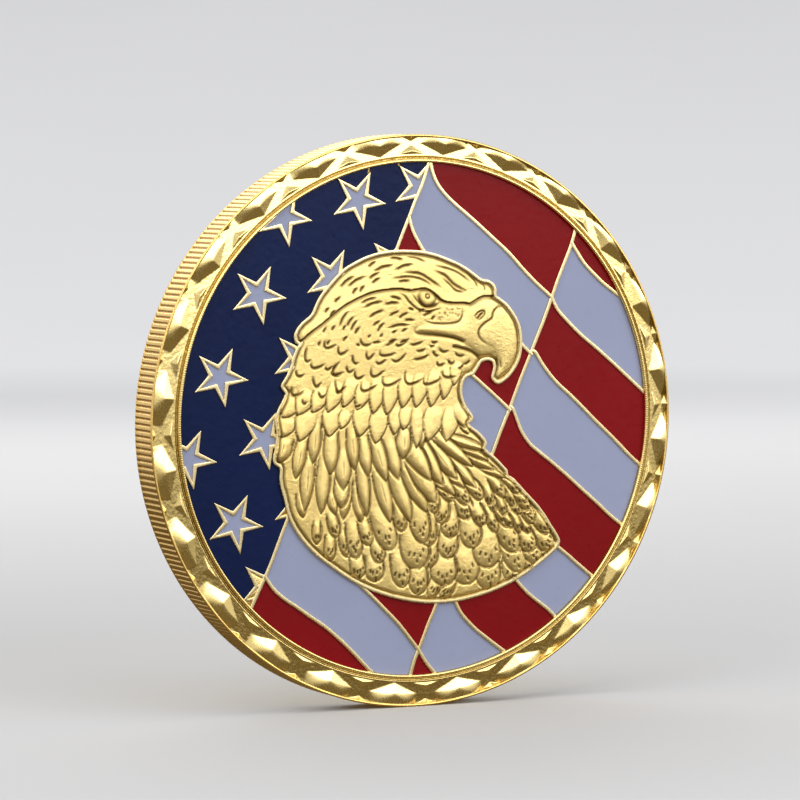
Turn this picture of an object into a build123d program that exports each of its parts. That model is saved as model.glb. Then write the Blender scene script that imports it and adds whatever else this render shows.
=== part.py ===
from build123d import *
import math
import os

# Challenge coin: one die-struck, gold-plated blank and the soft-enamel fills
# that sit in the pockets of its obverse.  Millimetres, +Z up.  The coin stands
# on edge: its axis is Y, the obverse looks towards -Y, the origin is the
# middle of the disc.

# ---- driving dimensions -------------------------------------------------
COIN_D = 40.0            # outside diameter over the reeding
COIN_R = COIN_D / 2
COIN_T = 3.0             # over the two rims
REEDS = 300              # reeds round the edge
REED_DEPTH = 0.11
REED_LAND = 0.62         # crest share of one reed pitch
LIP_T = 0.10             # plain lip beyond the reeding, each side
LIP_IN_R = 19.88         # inside of the thin outer lip
RIM_FLOOR = 1.20         # half-thickness at the sunk ground of the rim band
GROOVE_IN_R = 18.17      # narrow groove beside the inner ring
GROOVE_OUT_R = 18.32
GROOVE_H = 1.08
RING_H = 1.42            # half-thickness at the inner ring
FIELD_R = 17.93          # inside of the inner ring
LINE_H = 1.24            # half-thickness at the top of the raised gold lines
ENAMEL_H = 1.10          # half-thickness at the top of the enamel
POCKET_H = 0.86          # half-thickness at the pocket floor
LINE_W = 0.24            # width of a raised gold line
DIAMONDS = 24            # faceted diamonds round each rim
DIAMOND_PHASE = 9.2      # degrees, first diamond from +X
STAR_R = 2.12            # tip radius of a star, over its gold outline
STAR_IN = 0.84           # notch radius of a star
STAR_TILT = 64.3         # degrees, direction of one tip
STAR_LINE = 0.21         # width of a star's gold outline
REV_FLOOR = 1.12         # half-thickness at the ground of the reverse field
STRIKE = (0.20, 0.14)    # the obverse design sits this far off the blank's centre

# ---- raised lines of the flag, centre lines, (x, z) ---------------------
LINES = {
    "canton_top": [(0.9, 18.1), (0.33, 16.43), (-0.25, 15.18), (-0.7, 14.1), (-1.18, 13.0), (-1.73, 11.68)],
    "canton_low": [(-9.8, -6.25), (-10.18, -7.15), (-10.68, -8.35), (-11.18, -9.57), (-11.65, -10.57), (-12.22, -11.7), (-12.8, -12.9)],
    "fold_tip": [(-0.7, 14.1), (-0.42, 13.18), (0.03, 12.35), (0.55, 11.55)],
    "wave_1": [(0.9, 18.1), (1.15, 17.1), (1.65, 16.18), (2.58, 15.22), (4.2, 13.93), (5.7, 12.68), (7.08, 11.5), (8.2, 10.35), (9.32, 9.3), (10.47, 8.35)],
    "fold_mid": [(12.35, 13.15), (12.0, 12.05), (11.53, 10.93), (10.95, 9.6), (10.47, 8.35), (9.8, 6.67), (9.28, 5.5), (8.75, 4.3), (7.95, 2.5), (7.22, 0.7), (6.95, 0.1), (6.4, -1.12), (5.7, -2.85)],
    "wave_2": [(12.05, 12.15), (12.45, 11.55), (13.07, 10.7), (13.9, 9.88), (14.8, 9.12), (16.05, 8.25)],
    "wave_3": [(10.47, 8.35), (10.9, 7.5), (11.7, 6.65), (12.82, 5.62), (14.2, 4.55), (15.45, 3.52), (16.7, 2.45), (18.1, 1.25)],
    "wave_4": [(8.85, 4.55), (9.15, 4.5), (9.7, 3.67), (10.32, 2.88), (11.07, 2.12), (11.95, 1.38), (12.95, 0.47), (14.2, -0.7), (15.45, -1.82), (16.7, -3.02), (17.85, -4.0)],
    "wave_5": [(7.85, 5.35), (8.3, 4.85), (8.85, 4.35)],
    "wave_6": [(7.17, 0.68), (7.38, 0.55), (7.7, -0.2), (8.07, -1.07), (8.7, -1.95), (9.32, -2.48), (10.45, -3.33), (11.7, -4.33), (12.95, -5.4), (14.2, -6.45), (15.2, -7.33), (16.35, -8.2)],
    "wave_7": [(4.05, 3.1), (5.2, 2.15), (6.2, 1.3), (7.17, 0.45)],
    "wave_8": [(10.65, -9.15), (11.7, -9.95), (12.7, -10.78), (14.05, -11.85)],
    "wave_9": [(7.65, -11.6), (8.45, -12.45), (9.2, -13.07), (10.2, -13.82), (11.1, -14.7)],
    "wave_10": [(2.9, -12.95), (3.33, -13.75), (3.95, -14.45), (4.58, -15.03), (5.45, -15.7), (6.2, -16.25), (7.15, -16.95)],
    "fold_low": [(1.5, -12.75), (1.25, -13.4), (0.82, -14.32), (0.45, -15.2), (0.03, -16.2), (-0.3, -16.95), (-0.65, -18.1)],
    "fold_low2": [(0.03, -16.2), (0.57, -17.05), (0.97, -17.55), (1.52, -18.15)],
    "wave_11": [(-4.67, -11.25), (-3.55, -12.28), (-2.55, -13.25), (-1.6, -14.2), (-0.8, -15.15), (0.03, -16.2)],
    "wave_12": [(-11.65, -10.57), (-11.18, -11.25), (-10.75, -11.72), (-10.12, -12.22), (-9.3, -12.75), (-8.3, -13.45), (-7.17, -14.22), (-6.17, -15.05), (-5.3, -15.85), (-4.55, -16.6), (-3.8, -17.38), (-3.3, -17.9)],
}

# ---- outline of the eagle's head and neck, (x, z) -----------------------
EAGLE = [
    (6.15, 2.4), (6.7, 2.65), (7.2, 3.1), (7.65, 3.75), (7.9, 4.42), (7.97, 5.3), (7.88, 6.1),
    (7.62, 6.8), (7.2, 7.42), (6.75, 7.92), (6.33, 8.22), (5.95, 8.5), (5.95, 8.93), (5.75, 9.3),
    (5.4, 9.53), (4.95, 9.6), (4.58, 9.8), (3.95, 10.25), (3.08, 10.75), (2.08, 11.15), (1.2, 11.45),
    (0.2, 11.65), (-0.8, 11.72), (-1.8, 11.72), (-2.92, 11.6), (-4.05, 11.3), (-5.05, 10.85), (-5.67, 10.5),
    (-6.3, 9.95), (-6.92, 9.3), (-7.42, 8.72), (-7.75, 8.18), (-8.05, 7.55), (-8.3, 7.25), (-8.8, 6.88),
    (-9.18, 6.47), (-9.4, 6), (-9.3, 5.6), (-9.05, 5.4), (-9.28, 5), (-9.55, 4.35), (-9.65, 3.92),
    (-9.97, 3.25), (-10.32, 2.73), (-10.38, 2.48), (-10.07, 2.05), (-10.3, 1.5), (-10.62, 0.93), (-10.85, 0.3),
    (-10.8, -0.2), (-10.7, -0.82), (-10.78, -1.25), (-10.85, -1.82), (-10.97, -2.33), (-10.93, -2.73), (-10.53, -2.98),
    (-10.47, -3.33), (-10.5, -3.83), (-10.4, -4.45), (-10.18, -5.2), (-10.03, -5.83), (-9.88, -6.33), (-9.65, -6.85),
    (-9.3, -7.45), (-8.8, -8.12), (-8.25, -8.72), (-7.55, -9.35), (-6.75, -9.93), (-5.8, -10.6), (-4.55, -11.35),
    (-3.3, -11.9), (-2.05, -12.32), (-0.8, -12.62), (0.45, -12.82), (1.7, -12.88), (2.95, -12.82), (4.2, -12.62),
    (5.45, -12.32), (6.7, -11.9), (7.95, -11.35), (9.2, -10.6), (10.2, -9.9), (10.82, -9.38), (11, -8.95),
    (10.75, -8.45), (10.32, -7.83), (9.82, -7.08), (9.2, -6.33), (8.57, -5.7), (7.83, -4.95), (7.33, -4.45),
    (6.9, -4.2), (6.83, -3.83), (6.58, -3.58), (6.2, -3.2), (5.78, -2.83), (5.33, -2.5), (5.08, -2.2),
    (5.2, -1.82), (4.9, -1.4), (4.45, -1), (3.95, -0.65), (3.83, -0.4), (4.15, -0.05), (3.95, 0.3),
    (3.58, 0.8), (3.33, 1.43), (3.27, 1.93), (3.38, 2.55), (3.7, 2.95), (4.2, 3.1), (4.58, 3.62),
    (4.88, 4), (5.45, 4.08), (5.8, 3.92), (5.9, 3.5), (5.8, 3.05), (5.75, 2.73),
]

# ---- centres of the stars, (x, z) ---------------------------------------
STARS = {
    "S1": (-10.18, 14.2),
    "S2": (-4.58, 15.32),
    "S3": (0.12, 16.18),
    "S4": (-12.12, 8.88),
    "S5": (-6.58, 9.95),
    "S6": (-14.97, 3.3),
    "S7": (-9.03, 4.42),
    "S8": (-11.68, -1.12),
    "S9": (-17.32, -2.25),
    "S10": (-13.88, -6.8),
    "S11": (-1.85, 10.85),
    "S12": (-11.57, -11.28),
    "S13": (-9.03, -5.65),
}

# Short gold bars from a star's tip to the inner ring.
TIP_BARS = [[(-6.0, 16.7), (-6.25, 17.2)], [(-3.75, 17.0), (-3.62, 18.1)],
            [(-1.38, 17.6), (-1.5, 18.2)], [(0.85, 17.7), (1.0, 18.3)]]

# Which pocket gets which fill: a point inside each stripe or canton pocket.
FILLS = {
    "blue_canton": (-8.3, 12.8),
    "blue_notch_left": (-4.75, 17.15),
    "blue_notch_right": (-0.15, 17.6),
    "red_tip": (-0.72, 12.55),
    "white_band_upper": (3.5, 12.8),
    "red_band_upper": (8.0, 13.4),
    "red_sliver": (14.2, 10.2),
    "white_band_right": (14.2, 7.2),
    "red_band_right": (12.0, 3.8),
    "red_under_beak": (7.0, 2.0),
    "white_throat": (5.2, 0.0),
    "white_band_mid": (11.5, -1.2),
    "red_band_mid": (11.0, -6.0),
    "white_block": (10.9, -12.0),
    "red_block": (6.5, -14.0),
    "white_foot": (2.6, -16.0),
    "red_wedge": (0.0, -13.9),
    "red_foot": (0.02, -17.2),
    "white_band_lower": (-6.5, -12.8),
    "red_band_lower": (-9.3, -14.0),
}


# ---- helpers ------------------------------------------------------------
def smooth(points, step=0.55):
    """Catmull-Rom curve through the points, as a list of points."""
    out = []
    n = len(points)
    for i in range(n - 1):
        p0 = points[max(i - 1, 0)]
        p1, p2 = points[i], points[i + 1]
        p3 = points[min(i + 2, n - 1)]
        k = max(1, int(round(math.dist(p1, p2) / step)))
        for j in range(k):
            t = j / k
            out.append(tuple(
                0.5 * (2 * p1[c] + (p2[c] - p0[c]) * t
                       + (2 * p0[c] - 5 * p1[c] + 4 * p2[c] - p3[c]) * t * t
                       + (3 * p1[c] - p0[c] - 3 * p2[c] + p3[c]) * t ** 3)
                for c in (0, 1)))
    out.append(points[-1])
    return out


def stroke(points, width):
    """Closed outline of a line of this width."""
    pts = smooth(points)
    left, right = [], []
    for i, p in enumerate(pts):
        a = pts[max(i - 1, 0)]
        b = pts[min(i + 1, len(pts) - 1)]
        dx, dy = b[0] - a[0], b[1] - a[1]
        d = math.hypot(dx, dy)
        nx, ny = -dy / d * width / 2, dx / d * width / 2
        left.append((p[0] + nx, p[1] + ny))
        right.append((p[0] - nx, p[1] - ny))
    return left + right[::-1]


def grow(points, dist):
    """The closed outline moved outward by dist (inward where negative)."""
    area = sum(points[i - 1][0] * points[i][1] - points[i][0] * points[i - 1][1]
               for i in range(len(points)))
    s = 1 if area > 0 else -1
    out = []
    n = len(points)
    for i in range(n):
        a, p, b = points[i - 1], points[i], points[(i + 1) % n]
        u = (p[0] - a[0], p[1] - a[1])
        v = (b[0] - p[0], b[1] - p[1])
        lu, lv = math.hypot(*u), math.hypot(*v)
        n1 = (u[1] / lu * s, -u[0] / lu * s)
        n2 = (v[1] / lv * s, -v[0] / lv * s)
        m = (n1[0] + n2[0], n1[1] + n2[1])
        k = max(1 + n1[0] * n2[0] + n1[1] * n2[1], 0.5)
        out.append((p[0] + m[0] / k * dist, p[1] + m[1] / k * dist))
    return out


def star(centre, r_out, r_in, tilt):
    pts = []
    for i in range(10):
        r = r_out if i % 2 == 0 else r_in
        a = math.radians(tilt + 36 * i)
        pts.append((centre[0] + r * math.cos(a), centre[1] + r * math.sin(a)))
    return pts


def face(points):
    return Face(Wire.make_polygon([(x, y, 0) for x, y in points], close=True))


def prism(f, z0, z1):
    return extrude(Pos(0, 0, z0) * f, amount=z1 - z0, dir=(0, 0, 1))


def disc(r, z0, z1):
    return Pos(0, 0, z0) * extrude(Face(Wire.make_circle(r)), amount=z1 - z0,
                                   dir=(0, 0, 1))


def ring(r0, r1, z0, z1):
    return disc(r1, z0, z1) - disc(r0, z0 - 1, z1 + 1)


def pyramid(base, apex, z0):
    """Solid over a closed outline at height z0, up to one apex point."""
    b = [Vector(x, y, z0) for x, y in base]
    top = Vector(*apex)
    faces = [Face(Wire.make_polygon(b, close=True))]
    for i in range(len(b)):
        faces.append(Face(Wire.make_polygon([b[i - 1], b[i], top], close=True)))
    s = Solid(Shell(faces))
    return s if s.volume > 0 else Solid(Shell([f for f in faces])).fix()


def polar(r, deg):
    a = math.radians(deg)
    return (r * math.cos(a), r * math.sin(a))


def pick(faces, p):
    """The face that holds point p."""
    for f in faces:
        if f.is_inside(Vector(p[0], p[1], 0)):
            return f
    raise ValueError("no pocket at %s" % (p,))


def struck(s):
    """A feature of the obverse, from the design's centre to the blank's."""
    return Pos(STRIKE[0], STRIKE[1], 0) * s


def upright(s):
    """From the coin's lying frame (obverse +Z) to the standing frame."""
    return Rotation(90, 0, 0) * s


# ---- flat layout of the obverse field -----------------------------------
field = Face(Wire.make_circle(FIELD_R))
strokes = [face(stroke(p, LINE_W)) for p in LINES.values()]
eagle_face = face(EAGLE)
eagle_line = face(grow(EAGLE, 0.10))
star_out = {k: face(star(c, STAR_R, STAR_IN, STAR_TILT))
            for k, c in STARS.items()}
star_in = {k: face(grow(star(c, STAR_R, STAR_IN, STAR_TILT), -STAR_LINE))
           for k, c in STARS.items()}

# The canton side of the edge line, so that a star never crosses it.
canton = face([(0.9, 18.4), (-0.7, 14.1), (-1.73, 11.68), (-4.0, 5.0),
               (-9.8, -6.25), (-12.8, -12.9), (-19.5, -12.9), (-19.5, 18.4)])

pockets = field
for f in strokes:
    pockets = pockets - f
pockets = pockets - eagle_line
stripe_faces = pockets.faces()
cells = {}
canton_cells = []
for name, p in FILLS.items():
    if not name.startswith("blue"):
        cells[name] = pick(stripe_faces, p)
blue = pick(stripe_faces, (-8.3, 12.8))
blue_parts = blue
for k, f in star_out.items():
    blue_parts = blue_parts - f
# Where a star's tip runs out into the inner ring, a short bar joins them.
for p in TIP_BARS:
    blue_parts = blue_parts - face(stroke(p, 0.20))
blue_parts = blue_parts.faces()
for name in ("blue_canton", "blue_notch_left", "blue_notch_right"):
    cells[name] = pick(blue_parts, FILLS[name])

white_stars = {}
for k in ("S1", "S2", "S3", "S4", "S5", "S6", "S7", "S8", "S9", "S10"):
    inner = star_in[k] & blue
    fs = [f for f in inner.faces() if f.area > 0.06]
    white_stars["white_star_%02d" % int(k[1:])] = fs

# ---- the struck body ----------------------------------------------------
edge = []
pitch = 360 / REEDS
for i in range(REEDS):
    a = i * pitch
    half = pitch * REED_LAND / 2
    p0, p1 = polar(COIN_R, a - half), polar(COIN_R, a + half)
    pm = polar(COIN_R, a)
    edge.append(ThreePointArc(p0, pm, p1))
    valley = polar(COIN_R - REED_DEPTH, a + pitch / 2)
    nxt = polar(COIN_R, a + pitch - half)
    edge.append(Line(p1, valley))
    edge.append(Line(valley, nxt))
reeded = Face(Wire(edge))
body = prism(reeded, -(COIN_T / 2 - LIP_T), COIN_T / 2 - LIP_T)
lip = Pos(0, 0, COIN_T / 2 - LIP_T) * Face(Wire.make_circle(COIN_R))
lip = extrude(Face(Wire.make_circle(COIN_R)), amount=LIP_T, dir=(0, 0, 1))
body = body + (Pos(0, 0, COIN_T / 2 - LIP_T) * lip) \
    + (Pos(0, 0, -COIN_T / 2) * lip)

cuts = []
for s in (1, -1):
    def span(z0):
        return (z0, 2.0) if s > 0 else (-2.0, -z0)
    die = struck if s > 0 else (lambda x: x)
    cuts.append(disc(LIP_IN_R, *span(RIM_FLOOR)) - die(disc(GROOVE_OUT_R, -3, 3)))
    cuts.append(die(ring(GROOVE_IN_R, GROOVE_OUT_R + 0.001, *span(GROOVE_H))))
    cuts.append(die(ring(FIELD_R - 0.001, GROOVE_IN_R + 0.001, *span(RING_H))))
cuts.append(struck(disc(FIELD_R, LINE_H, 2.0)))
cuts.append(disc(FIELD_R, -2.0, -REV_FLOOR))
body = body - cuts

# enamel pockets
pocket_solids = []
fills = {}
for name, f in cells.items():
    fills[name] = [struck(prism(f, POCKET_H, ENAMEL_H))]
    pocket_solids.append(struck(prism(f, POCKET_H, LINE_H + 0.2)))
for name, fs in white_stars.items():
    fills[name] = [struck(prism(f, POCKET_H, ENAMEL_H)) for f in fs]
    pocket_solids += [struck(prism(f, POCKET_H, LINE_H + 0.2)) for f in fs]
body = body - pocket_solids

# ---- relief -------------------------------------------------------------
relief = []
# Eagle: the whole bust, the head over it, then the beak and the brow.
relief.append(prism(face(grow(EAGLE, -0.12)), 1.0, 1.32))
HEAD = [(5.3, 3.9), (4.2, 3.3), (2.0, 2.0), (-0.5, 1.2), (-3.5, 1.2),
        (-6.5, 2.4), (-8.6, 4.4), (-8.3, 6.9), (-6.6, 9.1), (-4.2, 10.8),
        (-1.8, 11.35), (1.2, 11.05), (3.8, 9.9), (5.3, 9.0), (5.5, 8.1),
        (6.9, 7.2), (7.5, 5.4), (7.2, 3.9), (6.4, 3.0), (6.1, 3.2), (6.1, 4.2)]
relief.append(prism(face(HEAD), 1.2, 1.38))
BEAK = [(0.0, 6.3), (0.1, 5.8), (2.0, 5.5), (3.6, 5.0), (5.0, 4.7), (6.0, 4.6),
        (6.3, 3.4), (7.1, 4.2), (7.4, 5.4), (6.9, 7.0), (5.6, 7.9), (4.3, 7.7),
        (3.6, 6.6), (2.4, 6.2)]
relief.append(prism(face(BEAK), 1.3, 1.45))
BROW = [(-4.3, 8.7), (-1.2, 9.3), (0.8, 9.0), (2.2, 8.0), (4.2, 7.9), (5.3, 8.4),
        (4.6, 9.2), (2.6, 9.5), (0.6, 10.2), (-2.2, 10.0)]
relief.append(prism(face(BROW), 1.3, 1.45))
# Breast: three overlapping rows of long feathers.
for row, (x0, z0, x1, z1, n, ln, tilt) in enumerate((
        (-9.6, 0.4, 4.4, 0.2, 9, 2.2, -78),
        (-9.4, -2.4, 6.4, -3.4, 10, 2.4, -68),
        (-8.0, -5.2, 8.6, -6.4, 10, 2.6, -60))):
    for i in range(n):
        t = (i + 0.5) / n
        cx, cz = x0 + (x1 - x0) * t, z0 + (z1 - z0) * t
        a = math.radians(tilt + 18 * (t - 0.5))
        ux, uz = math.cos(a), math.sin(a)
        w = 0.52
        base = [(cx - uz * w * 0.7, cz + ux * w * 0.7),
                (cx + ux * ln * 0.5 - uz * w, cz + uz * ln * 0.5 + ux * w),
                (cx + ux * ln, cz + uz * ln),
                (cx + ux * ln * 0.5 + uz * w, cz + uz * ln * 0.5 - ux * w),
                (cx + uz * w * 0.7, cz - ux * w * 0.7)]
        relief.append(pyramid(base, (cx + ux * ln * 0.55, cz + uz * ln * 0.55,
                                     1.46), 1.25))

def within(p, offset):
    """The point, pulled in so that it stays inside the thin outer lip."""
    x, y = p[0] + offset[0], p[1] + offset[1]
    k = min(1, (LIP_IN_R - 0.03) / math.hypot(x, y))
    return (x * k, y * k)


def faceted_rim(offset):
    """Diamonds round the rim, and a small three-sided kite between each two."""
    out = []
    for i in range(DIAMONDS):
        a = DIAMOND_PHASE + i * 360 / DIAMONDS
        base = [polar(18.47, a), polar(19.36, a + 5.5), polar(19.66, a + 3.9),
                polar(19.85, a + 1.7), polar(19.85, a - 1.7),
                polar(19.66, a - 3.9), polar(19.36, a - 5.5)]
        ax, ay = polar(19.34, a)
        out.append(pyramid([within(q, offset) for q in base],
                           (ax + offset[0], ay + offset[1], 1.49),
                           RIM_FLOOR - 0.03))
        b = a + 180 / DIAMONDS
        kite = [polar(18.56, b + 2.9), polar(19.2, b), polar(18.56, b - 2.9)]
        ax, ay = polar(18.72, b)
        out.append(pyramid([within(q, offset) for q in kite],
                           (ax + offset[0], ay + offset[1], 1.38),
                           RIM_FLOOR - 0.03))
    return out


flip = Rotation(180, 0, 0)
relief = [struck(s) for s in relief] + faceted_rim(STRIKE)
back = [flip * s for s in faceted_rim((0, 0))]

# Reverse: a plain five-point star with ridged arms inside two laurel sprays.
STAR_PTS = star((0, 0.6), 6.6, 2.75, 90)
back.append(flip * pyramid([(x, -y) for x, y in STAR_PTS], (0, -0.6, 1.44),
                           REV_FLOOR - 0.03))
for side in (1, -1):
    for i in range(15):
        t = -74 + i * 9.6
        r = 12.6
        for k, (dr, lean) in enumerate(((1.15, 32), (-1.15, -32))):
            cx, cy = polar(r + dr, t)
            cx *= side
            a = math.radians(t + 90 - lean)
            ux, uy = math.cos(a) * side, math.sin(a)
            leaf = [(cx - ux * 1.25, cy - uy * 1.25),
                    (cx - uy * 0.42, cy + ux * 0.42),
                    (cx + ux * 1.25, cy + uy * 1.25),
                    (cx + uy * 0.42, cy - ux * 0.42)]
            back.append(flip * pyramid([(x, -y) for x, y in leaf],
                                       (cx, -cy, 1.30), REV_FLOOR - 0.03))

body = body + relief + back
# The relief never reaches into a pocket.
body = body - pocket_solids

solids = body.solids()
solids.sort(key=lambda s: -s.volume)
coin = solids[0]

# ---- write --------------------------------------------------------------
os.makedirs("parts", exist_ok=True)
export_step(upright(coin), "parts/coin_body.step")
for name, ss in fills.items():
    if len(ss) == 1:
        export_step(upright(ss[0]), "parts/%s.step" % name)
    else:
        export_step(upright(Compound(children=ss)), "parts/%s.step" % name)
print("body solids", len(solids), "volume", round(coin.volume, 1), "mm3")
print("nodes", 1 + len(fills))
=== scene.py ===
import bpy
import math
import numpy as np
from mathutils import Vector, Matrix

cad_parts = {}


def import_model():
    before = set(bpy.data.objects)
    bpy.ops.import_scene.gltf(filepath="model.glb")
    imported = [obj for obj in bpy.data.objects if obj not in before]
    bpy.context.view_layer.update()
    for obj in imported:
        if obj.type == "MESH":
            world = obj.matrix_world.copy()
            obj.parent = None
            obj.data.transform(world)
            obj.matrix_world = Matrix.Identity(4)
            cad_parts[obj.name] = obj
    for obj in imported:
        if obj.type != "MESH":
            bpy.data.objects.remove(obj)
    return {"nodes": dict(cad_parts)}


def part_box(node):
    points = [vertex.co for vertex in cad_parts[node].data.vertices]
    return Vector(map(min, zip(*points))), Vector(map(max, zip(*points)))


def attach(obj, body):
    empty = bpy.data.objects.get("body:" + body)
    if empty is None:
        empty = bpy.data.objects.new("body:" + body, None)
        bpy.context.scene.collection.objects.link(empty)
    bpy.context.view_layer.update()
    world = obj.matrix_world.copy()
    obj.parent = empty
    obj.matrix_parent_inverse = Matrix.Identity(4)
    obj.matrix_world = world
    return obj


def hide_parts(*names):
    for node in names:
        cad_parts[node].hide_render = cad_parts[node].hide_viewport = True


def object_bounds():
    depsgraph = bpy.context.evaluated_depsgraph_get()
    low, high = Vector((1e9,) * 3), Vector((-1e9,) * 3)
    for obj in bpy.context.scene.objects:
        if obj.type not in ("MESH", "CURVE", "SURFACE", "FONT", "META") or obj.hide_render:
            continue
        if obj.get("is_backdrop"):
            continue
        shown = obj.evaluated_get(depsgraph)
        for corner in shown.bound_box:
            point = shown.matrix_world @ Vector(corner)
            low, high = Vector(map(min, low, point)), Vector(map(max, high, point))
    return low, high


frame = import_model()
cad_lo, cad_hi = (list(map(float, v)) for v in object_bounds())

# ------------------------------------------------------------------ frame
lo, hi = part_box("coin_body")
MID = (lo + hi) / 2                       # centre of the disc
R = (hi.x - lo.x) / 2                     # radius over the reeding
HALF = (hi.y - lo.y) / 2                  # half the thickness
K = R / 20.0                              # one design millimetre, in metres
KH = HALF / 1.5                           # one design millimetre of thickness
NODES = frame["nodes"]
RNG = np.random.default_rng(7)


def world(x, y, h):
    """Design coordinates (right, up, height towards the obverse) to metres."""
    x, y, h = np.broadcast_arrays(x, y, h)
    return np.stack([MID.x + x * K, MID.y - h * KH, MID.z + y * K], -1)


OX, OY = 0.20, 0.14                       # the obverse die sits this far off centre


def obverse(x, y, h):
    """As world(), from the obverse design's own centre."""
    return world(np.asarray(x) + OX, np.asarray(y) + OY, h)


# ------------------------------------------------------------- mesh tools
def make_mesh(name, co, quads=None, tris=None, smooth=True):
    me = bpy.data.meshes.new(name)
    polys = []
    starts = []
    n = 0
    loops = []
    if quads is not None and len(quads):
        loops.append(np.asarray(quads, np.int32).ravel())
        starts.append(np.arange(len(quads), dtype=np.int32) * 4)
        n += len(quads)
        polys.append(np.full(len(quads), 4, np.int32))
    if tris is not None and len(tris):
        base = len(quads) * 4 if quads is not None else 0
        loops.append(np.asarray(tris, np.int32).ravel())
        starts.append(base + np.arange(len(tris), dtype=np.int32) * 3)
        n += len(tris)
        polys.append(np.full(len(tris), 3, np.int32))
    loops = np.concatenate(loops)
    starts = np.concatenate(starts)
    totals = np.concatenate(polys)
    me.vertices.add(len(co))
    me.vertices.foreach_set("co", np.asarray(co, np.float32).ravel())
    me.loops.add(len(loops))
    me.loops.foreach_set("vertex_index", loops)
    me.polygons.add(n)
    me.polygons.foreach_set("loop_start", starts)
    me.polygons.foreach_set("loop_total", totals)
    me.update(calc_edges=True)
    me.validate()
    me.polygons.foreach_set("use_smooth", np.full(len(me.polygons), smooth))
    ob = bpy.data.objects.new(name, me)
    bpy.context.collection.objects.link(ob)
    return ob


def grid_quads(rows, cols, wrap=False, flip=False):
    r = np.arange(rows - 1)[:, None]
    c = np.arange(cols if wrap else cols - 1)[None, :]
    c2 = (c + 1) % cols
    a = r * cols + c
    b = r * cols + c2
    d = (r + 1) * cols + c
    e = (r + 1) * cols + c2
    q = np.stack([a, b, e, d], -1).reshape(-1, 4)
    return q[:, ::-1] if flip else q


def smoothstep(a, b, x):
    t = np.clip((x - a) / (b - a), 0, 1)
    return t * t * (3 - 2 * t)


def value_noise(x, y, cell, seed):
    """Smooth seeded noise, about -1 to 1."""
    g = np.random.default_rng(seed).uniform(-1, 1, (256, 256))
    u, v = x / cell + 500, y / cell + 500
    i, j = np.floor(u).astype(int), np.floor(v).astype(int)
    fu, fv = u - i, v - j
    fu = fu * fu * (3 - 2 * fu)
    fv = fv * fv * (3 - 2 * fv)
    i0, j0, i1, j1 = i % 256, j % 256, (i + 1) % 256, (j + 1) % 256
    return (g[i0, j0] * (1 - fu) * (1 - fv) + g[i1, j0] * fu * (1 - fv)
            + g[i0, j1] * (1 - fu) * fv + g[i1, j1] * fu * fv)


def smooth_line(points, step, closed=False):
    pts = np.asarray(points, float)
    n = len(pts)
    out = []
    m = n if closed else n - 1
    for i in range(m):
        p1, p2 = pts[i], pts[(i + 1) % n]
        p0 = pts[i - 1] if (closed or i > 0) else p1
        p3 = pts[(i + 2) % n] if (closed or i < n - 2) else p2
        k = max(1, int(round(np.hypot(*(p2 - p1)) / step)))
        t = (np.arange(k) / k)[:, None]
        out.append(0.5 * (2 * p1 + (p2 - p0) * t
                          + (2 * p0 - 5 * p1 + 4 * p2 - p3) * t ** 2
                          + (3 * p1 - p0 - 3 * p2 + p3) * t ** 3))
    out = np.concatenate(out)
    return out if closed else np.vstack([out, pts[-1:]])


def normals_2d(pts, closed):
    if closed:
        d = np.roll(pts, -1, 0) - np.roll(pts, 1, 0)
    else:
        d = np.gradient(pts, axis=0)
    d /= np.maximum(np.hypot(d[:, 0], d[:, 1]), 1e-9)[:, None]
    return np.stack([-d[:, 1], d[:, 0]], -1)


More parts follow.
